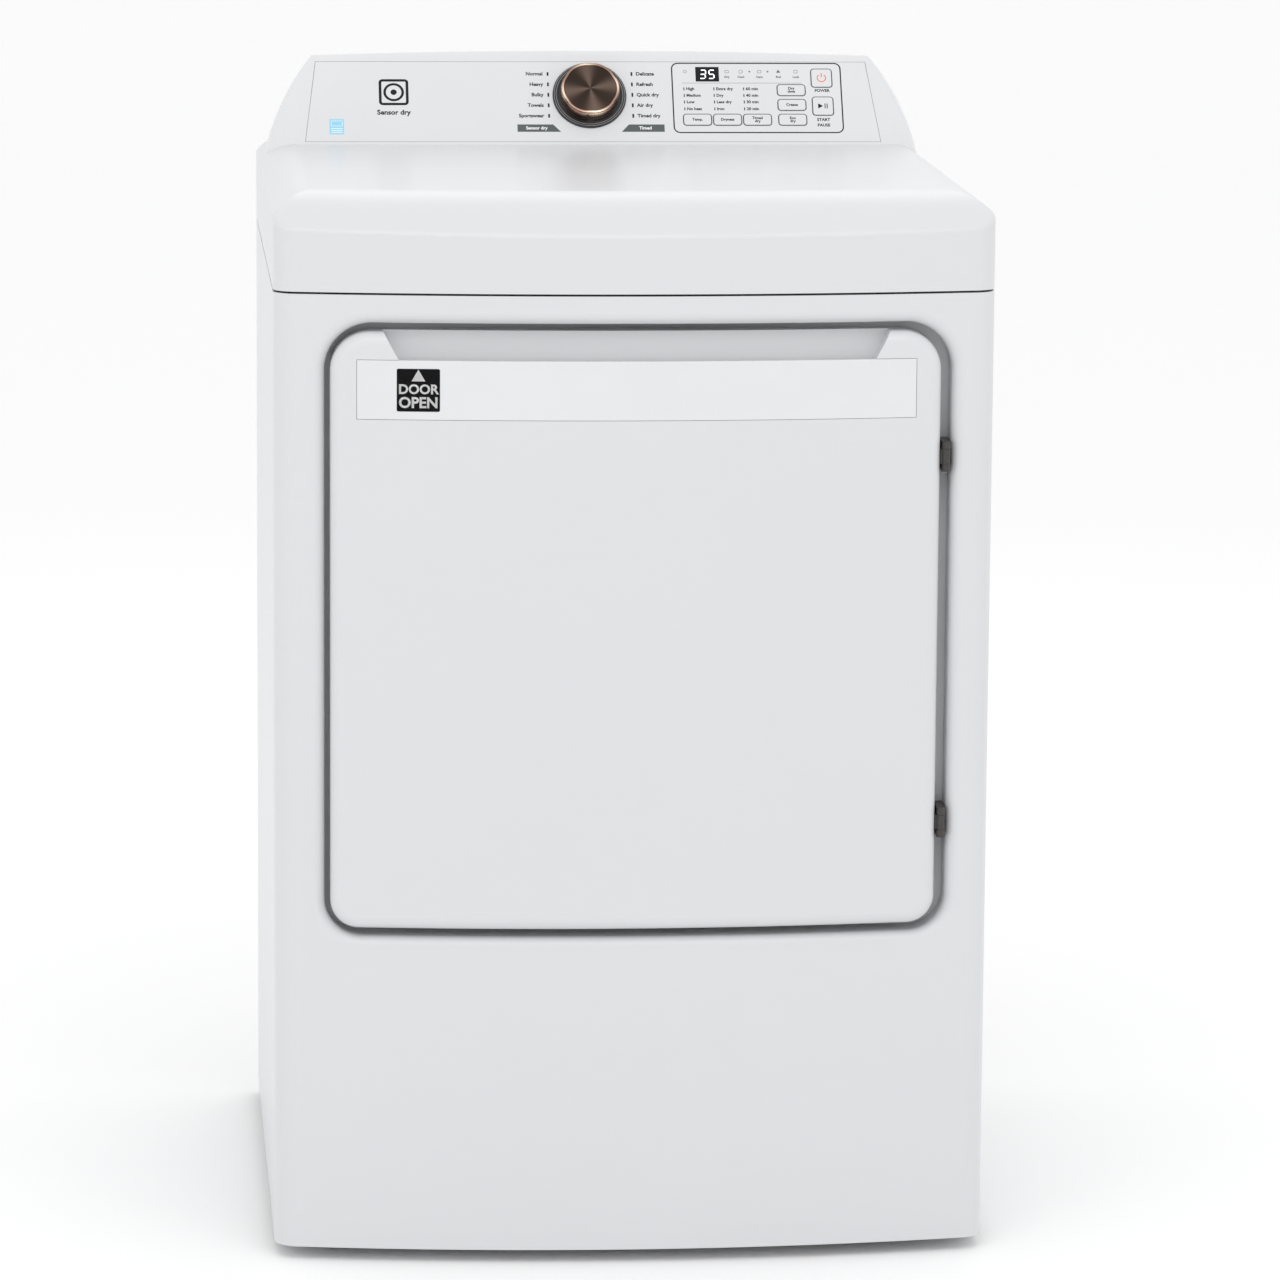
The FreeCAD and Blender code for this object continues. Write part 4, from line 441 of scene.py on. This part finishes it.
def settle(piece, matrix=None):
    """Applies an object's place to its mesh."""
    if matrix is not None:
        piece.matrix_world = matrix @ piece.matrix_world
        bpy.context.view_layer.update()
    only(piece)
    bpy.ops.object.transform_apply(location=True, rotation=True, scale=True)


def dress(piece, finish, name=None):
    """Gives a piece its finish and name."""
    piece.data.materials.clear()
    piece.data.materials.append(FINISHES[finish].material)
    if name:
        piece.name = name
        piece.data.name = name
    return piece


def joined(pieces, name):
    """Joins pieces into one, modelled at the origin."""
    only(*pieces)
    if len(pieces) > 1:
        bpy.ops.object.join()
    whole = bpy.context.view_layer.objects.active
    whole.name = name
    whole.data.name = name
    return whole


def printed_piece(pieces, name, finish, body, height=0.0):
    """Lays flat printing on the control face and lets it ride on a body."""
    whole = joined(pieces, name)
    settle(whole, face_matrix() @ Matrix.Translation((0, 0, height)))
    dress(whole, finish)
    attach(whole, body)
    return whole


def bar(across, up, length, height, slant=0.0):
    """A flat printed bar, one top corner drawn in by slant."""
    thick = settings().face.ink
    bpy.ops.mesh.primitive_cube_add(size=1, location=(across, up, thick / 2),
                                    scale=(length, height, thick))
    piece = bpy.context.active_object
    settle(piece)
    if slant:
        bpy.ops.object.mode_set(mode="EDIT")
        bpy.ops.mesh.select_all(action="DESELECT")
        bpy.ops.object.mode_set(mode="OBJECT")
        sides = [vertex.co.x for vertex in piece.data.vertices]
        side = max(sides) if slant > 0 else min(sides)
        for vertex in piece.data.vertices:
            vertex.select = vertex.co.y > up and abs(vertex.co.x - side) < 1e-6
        bpy.ops.object.mode_set(mode="EDIT")
        bpy.ops.transform.translate(value=(-slant, 0, 0))
        bpy.ops.object.mode_set(mode="OBJECT")
    return piece


def rounded_bar(across, up, length, height, corner, line=None):
    """A flat rounded rectangle, hollow where a line width is given."""
    thick = settings().face.ink
    bpy.ops.mesh.primitive_plane_add(size=1, location=(across, up, thick))
    piece = bpy.context.active_object
    piece.scale = (length, height, 1)
    settle(piece)
    bpy.ops.object.mode_set(mode="EDIT")
    bpy.ops.mesh.select_all(action="SELECT")
    bpy.ops.mesh.bevel(offset=corner, segments=6, affect="VERTICES")
    if line:
        bpy.ops.mesh.select_all(action="SELECT")
        bpy.ops.mesh.inset(thickness=line)
        bpy.ops.mesh.delete(type="FACE")
    bpy.ops.mesh.select_all(action="SELECT")
    bpy.ops.mesh.extrude_region_move(TRANSFORM_OT_translate={"value": (0, 0, -thick)})
    bpy.ops.mesh.select_all(action="SELECT")
    bpy.ops.mesh.normals_make_consistent(inside=False)
    bpy.ops.object.mode_set(mode="OBJECT")
    return piece


def disc(across, up, radius, sides=24, turn=0.0):
    """A flat printed disc or polygon."""
    thick = settings().face.ink
    bpy.ops.mesh.primitive_cylinder_add(vertices=sides, radius=radius, depth=thick,
                                        location=(across, up, thick / 2), rotation=(0, 0, turn))
    piece = bpy.context.active_object
    settle(piece)
    return piece


def ring(across, up, radius, line, sides=48, gap=0.0):
    """A flat printed ring, open at its top over an angle where a gap is given."""
    piece = disc(across, up, radius, sides)
    bpy.ops.object.mode_set(mode="OBJECT")
    for polygon in piece.data.polygons:
        polygon.select = abs(polygon.normal.z) > 0.9
    bpy.ops.object.mode_set(mode="EDIT")
    bpy.ops.mesh.select_mode(type="FACE")
    bpy.ops.mesh.inset(thickness=line)
    bpy.ops.mesh.bridge_edge_loops()
    bpy.ops.object.mode_set(mode="OBJECT")
    if gap:
        for polygon in piece.data.polygons:
            away = polygon.center - Vector((across, up, 0))
            polygon.select = abs(math.atan2(away.x, away.y)) < gap / 2
        bpy.ops.object.mode_set(mode="EDIT")
        bpy.ops.mesh.delete(type="FACE")
        bpy.ops.mesh.select_all(action="SELECT")
        bpy.ops.mesh.fill_holes(sides=4)
        bpy.ops.mesh.select_all(action="SELECT")
        bpy.ops.mesh.normals_make_consistent(inside=False)
        bpy.ops.object.mode_set(mode="OBJECT")
    return piece


def letters(words, across, up, height, align="LEFT"):
    """Generic lettering, made a mesh and laid flat."""
    bpy.ops.object.text_add(location=(across, up, 0))
    piece = bpy.context.active_object
    piece.data.body = words
    piece.data.size = height
    piece.data.align_x = align
    piece.data.align_y = "CENTER"
    piece.data.resolution_u = 3
    piece.data.offset = height * 0.03
    piece.data.extrude = settings().face.ink / 2
    only(piece)
    bpy.ops.object.convert(target="MESH")
    piece = bpy.context.active_object
    piece.location.z = settings().face.ink / 2
    settle(piece)
    return piece


def dress_nodes(*names):
    """Gives frame nodes the finish of their slot."""
    for name in names:
        slots = NODES[name].material_slots
        if not slots:
            raise RuntimeError(f"{name} has no material slot")
        for slot in slots:
            slot.material = FINISHES[SLOTS[name]].material


# ---------------------------------------------------------------- pieces

class DRYER_OT_works(bpy.types.Operator):
    """Finishes of the casing, door, drum, air path and drive"""
    bl_idname = "dryer.works"
    bl_label = "Casing and works"

    def execute(self, context):
        dress_nodes(*[name for name in NODES if name != "control_knob"])
        return {"FINISHED"}


DOOR_LABEL_SIDE = 0.0405
DOOR_LABEL_SET = 0.0575
BEND_STEP = 0.003


class DRYER_OT_door(bpy.types.Operator):
    """Opening label on the handle strip of the door"""
    bl_idname = "dryer.door"
    bl_label = "Door label"

    def execute(self, context):
        low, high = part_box("door_handle_strip")
        across = low.x + DOOR_LABEL_SET
        tile = rounded_bar(0, 0, DOOR_LABEL_SIDE, DOOR_LABEL_SIDE, 0.0016)
        marks = joined([disc(0, 0.0122, 0.0075, 3),
                        letters("DOOR", 0, 0.0005, 0.0125, "CENTER"),
                        letters("OPEN", 0, -0.0122, 0.0142, "CENTER")], "door_label_marks")
        place = Matrix.Translation((across, low.y - 0.004, (low.z + high.z) / 2))
        for piece, finish, name, lift in ((tile, "black_label", "door_label", 0.0002),
                                          (marks, "white_ink", "door_label_marks", 0.0004)):
            settle(piece, place @ Matrix.Rotation(math.pi / 2, 4, "X"))
            bpy.ops.object.mode_set(mode="EDIT")
            for step in range(-6, 7):
                bpy.ops.mesh.select_all(action="SELECT")
                bpy.ops.mesh.bisect(plane_co=(across + step * BEND_STEP, 0, 0), plane_no=(1, 0, 0))
            bpy.ops.object.mode_set(mode="OBJECT")
            wrap = piece.modifiers.new("Lie on the strip", "SHRINKWRAP")
            wrap.target = NODES["door_handle_strip"]
            wrap.wrap_method = "PROJECT"
            wrap.use_project_y = True
            wrap.use_positive_direction = True
            wrap.offset = lift
            bpy.ops.object.modifier_apply(modifier=wrap.name)
            dress(piece, finish, name)
            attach(piece, "door")
        return {"FINISHED"}


KNOB_POINTS = 1.09
KNOB_CORNER = 0.42
KNOB_EDGE = 0.0012
KNOB_STEPS = ((0.0005, -0.0007), (0.004, 0.0002), (0.009, 0.0001))


class DRYER_OT_knob(bpy.types.Operator):
    """Six-sided soft knob with a brushed face and a polished rim"""
    bl_idname = "dryer.knob"
    bl_label = "Knob"

    def execute(self, context):
        size = settings().knob
        top = size.foot + size.length
        bpy.ops.mesh.primitive_cylinder_add(vertices=6, radius=size.radius * KNOB_POINTS, depth=size.length,
                                            end_fill_type="NGON", rotation=(0, 0, math.radians(30)),
                                            location=(size.across, size.rise, size.foot + size.length / 2))
        knob = bpy.context.active_object
        settle(knob)
        bpy.ops.object.mode_set(mode="EDIT")
        bpy.ops.mesh.select_mode(type="EDGE")
        bpy.ops.object.mode_set(mode="OBJECT")
        for polygon in knob.data.polygons:
            polygon.select = False
        for edge in knob.data.edges:
            ends = [knob.data.vertices[i].co for i in edge.vertices]
            edge.select = abs(ends[0].z - ends[1].z) > size.length / 2
        bpy.ops.object.mode_set(mode="EDIT")
        bpy.ops.mesh.bevel(offset=size.radius * KNOB_CORNER, segments=10, affect="EDGES")
        bpy.ops.object.mode_set(mode="OBJECT")
        for polygon in knob.data.polygons:
            polygon.select = polygon.normal.z > 0.9
        bpy.ops.object.mode_set(mode="EDIT")
        bpy.ops.mesh.select_mode(type="FACE")
        bpy.ops.mesh.bevel(offset=KNOB_EDGE, segments=4, affect="EDGES")
        bpy.ops.object.mode_set(mode="OBJECT")
        for polygon in knob.data.polygons:
            polygon.select = polygon.normal.z > 0.999 and polygon.center.z > top - 0.00001
        bpy.ops.object.mode_set(mode="EDIT")
        bpy.ops.mesh.inset(thickness=size.rim)
        for width, rise in KNOB_STEPS:
            bpy.ops.mesh.inset(thickness=width, depth=rise)
        bpy.ops.object.mode_set(mode="OBJECT")
        knob.data.materials.append(FINISHES["copper_rim"].material)
        knob.data.materials.append(FINISHES["bronze_finish"].material)
        for polygon in knob.data.polygons:
            away = polygon.center - Vector((size.across, size.rise, polygon.center.z))
            sunk = polygon.normal.z > 0.5 and polygon.center.z < top - 0.0002
            middle = polygon.normal.z > 0.9 and away.length < 0.01
            polygon.material_index = 1 if sunk or middle else 0
        settle(knob, face_matrix())
        bpy.ops.object.shade_smooth_by_angle(angle=math.radians(35))
        knob.name = "knob_grip"
        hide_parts("control_knob")
        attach(knob, "knob")
        return {"FINISHED"}


KEY_WORDS = {
    "key_temperature": ("Temp.",),
    "key_dryness": ("Dryness",),
    "key_timed_dry": ("Timed", "dry"),
    "key_eco_dry": ("Eco", "dry"),
    "key_wrinkle_care": ("Crease",),
    "key_dry_time": ("Dry", "time"),
}
KEY_LETTER = 0.0042
KEY_LINE = 0.0036
POWER_RADIUS = 0.0048
POWER_LINE = 0.0009
POWER_GAP = math.radians(68)


def face_corners(name):
    """A node's vertices in flat face coordinates."""
    flat = face_matrix().inverted()
    return [flat @ Vector(vertex.co) for vertex in NODES[name].data.vertices]


def key_outline(name):
    """Centre, length and height of a key cap on the control face."""
    corners = face_corners(name)
    left, right = min(c.x for c in corners), max(c.x for c in corners)
    low, high = min(c.y for c in corners), max(c.y for c in corners)
    return (left + right) / 2, (low + high) / 2, right - left, high - low


def proud(name):
    """How far a node stands out of the control face."""
    return max(corner.z for corner in face_corners(name))


class DRYER_OT_keys(bpy.types.Operator):
    """Key caps with their words and symbols"""
    bl_idname = "dryer.keys"
    bl_label = "Keys"

    def execute(self, context):
        for name in KEY_NAMES:
            across, up = key_outline(name)[:2]
            words = KEY_WORDS.get(name, ())
            marks = []
            for line, word in enumerate(words):
                drop = ((len(words) - 1) / 2 - line) * KEY_LINE
                marks.append(letters(word, across, up + drop, KEY_LETTER, "CENTER"))
            if name == "key_power":
                marks.append(ring(across, up, POWER_RADIUS, POWER_LINE, gap=POWER_GAP))
                marks.append(bar(across, up + 0.0034, 0.001, 0.0044))
            elif name == "key_start":
                marks.append(disc(across - 0.0032, up, 0.0034, 3, math.radians(-90)))
                marks += [bar(across + shift, up, 0.0009, 0.0058) for shift in (0.0022, 0.0043)]
            ink = "signal_ink" if name == "key_power" else "ink"
            printed_piece(marks, f"{name}_mark", ink, BODY_OF[name], proud(name))
        return {"FINISHED"}


PROGRAMMES = (("Normal", "Delicate"), ("Heavy", "Refresh"), ("Bulky", "Quick dry"),
              ("Towels", "Air dry"), ("Sportswear", "Timed dry"))
PROGRAMME_ROWS = (0.0828, 0.0705, 0.0582, 0.0459, 0.0336)
LEVELS = (("High", "Medium", "Low", "No heat"), ("Extra dry", "Dry", "Less dry", "Iron"),
          ("60 min", "40 min", "30 min", "20 min"))
LEVEL_ROWS = (0.0653, 0.0576, 0.0499, 0.0418)
LEVEL_COLUMNS = (0.095, 0.126, 0.1568)
PHASES = ((0.1401, "Dry"), (0.1546, "Cool"), (0.1738, "Care"), (0.1935, "End"), (0.2116, "Lock"))
PHASE_WORDS = 0.0794
PHASE_MARKS = 0.0857
FINE_LINE = 0.0004
KEY_SURROUND = 0.0022
SYMBOL_ACROSS = -0.2044
SYMBOL_UP = 0.0612
BANNER_UP = 0.0192


def programme_names():
    """The programmes either side of the knob, each with its tick."""
    marks = []
    for (left, right), up in zip(PROGRAMMES, PROGRAMME_ROWS):
        marks += [bar(-0.0453, up, 0.0018, 0.0044), bar(0.0414, up, 0.0018, 0.0044),
                  letters(left, -0.0504, up, 0.0056, "RIGHT"), letters(right, 0.0458, up, 0.0056)]
    return marks


def level_names():
    """Three columns of levels with their lamps, over the keys that set them."""
    marks = []
    for column, words in zip(LEVEL_COLUMNS, LEVELS):
        for word, up in zip(words, LEVEL_ROWS):
            marks += [bar(column, up, 0.001, 0.0034), letters(word, column + 0.0022, up, 0.0046)]
    return marks


def phase_icons():
    """Words and small symbols of the phases, above a thin rule."""
    marks = [bar(0.15525, 0.0722, 0.1245, 0.0003)]
    marks += [letters(word, across, PHASE_WORDS, 0.0034, "CENTER") for across, word in PHASES]
    marks += [disc(across, PHASE_MARKS, 0.0009) for across in (0.1636, 0.1825)]
    marks += [ring(0.0967, PHASE_MARKS, 0.0018, FINE_LINE),
              rounded_bar(0.1401, PHASE_MARKS, 0.0042, 0.0034, 0.0012, FINE_LINE),
              ring(0.1546, PHASE_MARKS, 0.0021, FINE_LINE),
              rounded_bar(0.1738, PHASE_MARKS, 0.0042, 0.0034, 0.0008, FINE_LINE),
              disc(0.1935, PHASE_MARKS, 0.0024, 3),
              rounded_bar(0.2116, PHASE_MARKS, 0.004, 0.0036, 0.0006, FINE_LINE)]
    return marks


def key_surrounds():
    """An outline round each key cap."""
    marks = []
    for name in KEY_NAMES:
        across, up, length, height = key_outline(name)
        marks.append(rounded_bar(across, up, length + KEY_SURROUND, height + KEY_SURROUND, 0.0038, 0.0007))
    return marks


class DRYER_OT_legends(bpy.types.Operator):
    """Printing on the control face"""
    bl_idname = "dryer.legends"
    bl_label = "Legends"

    def execute(self, context):
        ink = programme_names() + level_names()
        ink += [letters("POWER", 0.238, 0.0633, 0.0044, "CENTER"),
                letters("START", 0.238, 0.0291, 0.0046, "CENTER"),
                letters("PAUSE", 0.238, 0.0227, 0.0046, "CENTER"),
                letters("Sensor dry", -0.2047, 0.0374, 0.0078, "CENTER"),
                rounded_bar(0.17055, 0.0548, 0.1761, 0.0828, 0.007, 0.0013)]
        printed_piece(ink, "face_legends", "ink", "cabinet")
        printed_piece(phase_icons() + key_surrounds(), "face_icons", "pale_ink", "cabinet")

        banners = [bar(-0.05595, BANNER_UP, 0.0447, 0.0086, 0.0079),
                   bar(0.0511, BANNER_UP, 0.0442, 0.0086, -0.0076)]
        printed_piece(banners, "face_banners", "pale_ink", "cabinet")
        words = [letters("Sensor dry", -0.0585, BANNER_UP, 0.005, "CENTER"),
                 letters("Timed", 0.0535, BANNER_UP, 0.005, "CENTER")]
        knob = settings().knob
        circles = [ring(knob.across, knob.rise, radius, FINE_LINE, 96) for radius in (0.0366, 0.0346)]
        printed_piece(circles, "ring_circles", "ring_ink", "cabinet", 0.0026)
        printed_piece(words, "face_banner_words", "white_ink", "cabinet",
                      settings().face.ink)

        # tumble-dry symbol where a name would stand
        symbol = [rounded_bar(SYMBOL_ACROSS, SYMBOL_UP, 0.0305, 0.0305, 0.004, 0.0028),
                  ring(SYMBOL_ACROSS, SYMBOL_UP, 0.0106, 0.0026, 64),
                  disc(SYMBOL_ACROSS, SYMBOL_UP, 0.0032, 40)]
        printed_piece(symbol, "tumble_symbol", "ink", "cabinet")
        return {"FINISHED"}


LABEL_ACROSS = -0.2635


class DRYER_OT_sticker(bpy.types.Operator):
    """Plain pale blue label with bars"""
    bl_idname = "dryer.sticker"
    bl_label = "Blue label"

    def execute(self, context):
        label = [rounded_bar(LABEL_ACROSS, 0.0208, 0.0148, 0.0177, 0.0006)]
        printed_piece(label, "blue_label", "blue_label", "cabinet")
        marks = [rounded_bar(LABEL_ACROSS, 0.0246, 0.0118, 0.0064, 0.0006, 0.0005)]
        marks += [bar(LABEL_ACROSS, up, 0.0118, 0.0008) for up in (0.0186, 0.0163, 0.0141)]
        printed_piece(marks, "blue_label_marks", "white_ink", "cabinet",
                      settings().face.ink)
        return {"FINISHED"}


DIGITS = (("abgcd", -0.0045), ("afgcd", 0.0045))
DIGIT_WIDE = 0.0044
DIGIT_TALL = 0.0098
DIGIT_LINE = 0.0011
DIGIT_LEAN = 0.1


def segment_spots():
    """Centre, length and height of a digit's segments by their letters."""
    side = DIGIT_WIDE / 2 + DIGIT_LINE / 2
    upright = (DIGIT_LINE, DIGIT_TALL / 2 - DIGIT_LINE)
    level = (DIGIT_WIDE, DIGIT_LINE)
    return {"a": (0, DIGIT_TALL / 2, *level), "g": (0, 0, *level), "d": (0, -DIGIT_TALL / 2, *level),
            "b": (side, DIGIT_TALL / 4, *upright), "c": (side, -DIGIT_TALL / 4, *upright),
            "f": (-side, DIGIT_TALL / 4, *upright)}


class DRYER_OT_display(bpy.types.Operator):
    """Two seven-segment digits in the smoked window"""
    bl_idname = "dryer.display"
    bl_label = "Display"

    def execute(self, context):
        corners = face_corners("display_window")
        middle = Vector((sum(c.x for c in corners), sum(c.y for c in corners), 0)) / len(corners)
        spots = segment_spots()
        segments = []
        for digit, shift in DIGITS:
            for segment in digit:
                across, up, length, height = spots[segment]
                segments.append(rounded_bar(middle.x + shift + across + up * DIGIT_LEAN, middle.y + up,
                                            length, height, DIGIT_LINE * 0.35))
        printed_piece(segments, "display_digits", "digit_light", "cabinet",
                      proud("display_window"))
        return {"FINISHED"}


# ---------------------------------------------------------------- studio

FLOOR_SIZE = 36
FLOOR_SHIFT = -2.0
WALL_HEIGHT = 14
COVE_RADIUS = 5.0
LIGHTS = (("key_light", (-2.6, -3.4, 2.6), (0, 0, 0.6), 2.2, 2.4, 7),
          ("fill_light", (2.8, -3.2, 2.0), (0, 0, 0.6), 2.0, 2.4, 1.5),
          ("top_light", (0, -2.4, 3.4), (0, -0.3, 1.0), 3.0, 1.6, 19),
          ("rim_light", (0.5, 3.2, 2.6), (0, 0, 0.9), 2.6, 1.4, 6))


def select_rear_edges(floor, ceiling=math.inf):
    """Picks the floor's edges along its rear side, below a ceiling."""
    corners = floor.data.vertices
    rear = FLOOR_SHIFT + FLOOR_SIZE / 2
    for edge in floor.data.edges:
        edge.select = all(corners[i].co.y > rear - 0.01 and corners[i].co.z < ceiling for i in edge.vertices)


def make_backdrop():
    """A pale floor that sweeps up behind the machine."""
    bpy.ops.mesh.primitive_plane_add(size=FLOOR_SIZE, location=(0, FLOOR_SHIFT, 0))
    floor = bpy.context.active_object
    floor.name = "studio_floor"
    settle(floor)
    bpy.ops.object.mode_set(mode="EDIT")
    bpy.ops.mesh.select_mode(type="EDGE")
    bpy.ops.mesh.select_all(action="DESELECT")
    bpy.ops.object.mode_set(mode="OBJECT")
    select_rear_edges(floor)
    bpy.ops.object.mode_set(mode="EDIT")
    bpy.ops.mesh.extrude_region_move(TRANSFORM_OT_translate={"value": (0, 0, WALL_HEIGHT)})
    bpy.ops.object.mode_set(mode="OBJECT")
    select_rear_edges(floor, 0.01)
    bpy.ops.object.mode_set(mode="EDIT")
    bpy.ops.mesh.bevel(offset=COVE_RADIUS, segments=32, affect="EDGES")
    bpy.ops.object.mode_set(mode="OBJECT")
    bpy.ops.object.shade_smooth()
    paper = Finish("studio_paper", (0.97, 0.97, 0.972), 0.85)
    paper.set("Roughness", paper.noise(3) * 0.05 + 0.82)
    floor.data.materials.append(paper.material)


def make_lights(room):
    """Even light all round and four soft lamps."""
    world = bpy.data.worlds.new("studio_room")
    bpy.context.scene.world = world
    world.use_nodes = True
    back = world.node_tree.nodes["Background"]
    back.inputs["Color"].default_value = (1, 1, 1, 1)
    back.inputs["Strength"].default_value = room
    for name, place, aim, wide, tall, power in LIGHTS:
        data = bpy.data.lights.new(name, "AREA")
        data.shape = "RECTANGLE"
        data.size = wide
        data.size_y = tall
        data.energy = power
        lamp = bpy.data.objects.new(name, data)
        bpy.context.scene.collection.objects.link(lamp)
        lamp.location = place
        lamp.rotation_euler = (Vector(aim) - Vector(place)).to_track_quat("-Z", "Y").to_euler()


def make_camera(size):
    """A long lens, low and nearly square on."""
    sight = Vector((math.sin(size.azimuth) * math.cos(size.elevation),
                    -math.cos(size.azimuth) * math.cos(size.elevation),
                    math.sin(size.elevation)))
    right = Vector((math.cos(size.azimuth), math.sin(size.azimuth), 0))
    up = sight.cross(right)
    across = right * math.cos(size.roll) + up * math.sin(size.roll)
    above = up * math.cos(size.roll) - right * math.sin(size.roll)
    data = bpy.data.cameras.new("studio_camera")
    data.sensor_width = 36
    data.lens = size.lens
    data.clip_end = 60
    camera = bpy.data.objects.new("studio_camera", data)
    bpy.context.scene.collection.objects.link(camera)
    turn = Matrix((across, above, sight)).transposed().to_4x4()
    camera.matrix_world = Matrix.Translation(Vector(size.target) + sight * size.distance) @ turn
    bpy.context.scene.camera = camera
    bpy.context.scene.view_settings.view_transform = "Standard"


class DRYER_OT_studio(bpy.types.Operator):
    """Pale floor and backdrop, soft lights and the camera"""
    bl_idname = "dryer.studio"
    bl_label = "Studio"

    def execute(self, context):
        make_backdrop()
        make_lights(settings().studio.room)
        make_camera(settings().studio)
        return {"FINISHED"}


class DRYER_PT_panel(bpy.types.Panel):
    """Buttons and settings of the dryer"""
    bl_idname = "DRYER_PT_panel"
    bl_label = "Clothes dryer"
    bl_space_type = "VIEW_3D"
    bl_region_type = "UI"
    bl_category = "Dryer"

    def draw(self, context):
        for operator in PIECES:
            self.layout.operator(operator.bl_idname)
        for group in ("face", "knob", "colours", "studio"):
            box = self.layout.box()
            holder = getattr(context.scene.dryer, group)
            for name in holder.__annotations__:
                box.prop(holder, name)


PIECES = (DRYER_OT_works, DRYER_OT_door, DRYER_OT_knob, DRYER_OT_keys, DRYER_OT_legends,
          DRYER_OT_sticker, DRYER_OT_display, DRYER_OT_studio)
CLASSES = (FaceSizes, KnobSizes, FinishColours, StudioSizes, DryerSettings, *PIECES, DRYER_PT_panel)


def register():
    """Registers the classes and the settings."""
    for item in CLASSES:
        bpy.utils.register_class(item)
    bpy.types.Scene.dryer = PointerProperty(type=DryerSettings)


def unregister():
    """Removes the settings and the classes."""
    del bpy.types.Scene.dryer
    for item in reversed(CLASSES):
        bpy.utils.unregister_class(item)


def main():
    """Builds every piece."""
    register()
    make_finishes()
    bpy.ops.dryer.works()
    bpy.ops.dryer.door()
    bpy.ops.dryer.knob()
    bpy.ops.dryer.keys()
    bpy.ops.dryer.legends()
    bpy.ops.dryer.sticker()
    bpy.ops.dryer.display()
    bpy.ops.dryer.studio()


if __name__ == "__main__":
    main()
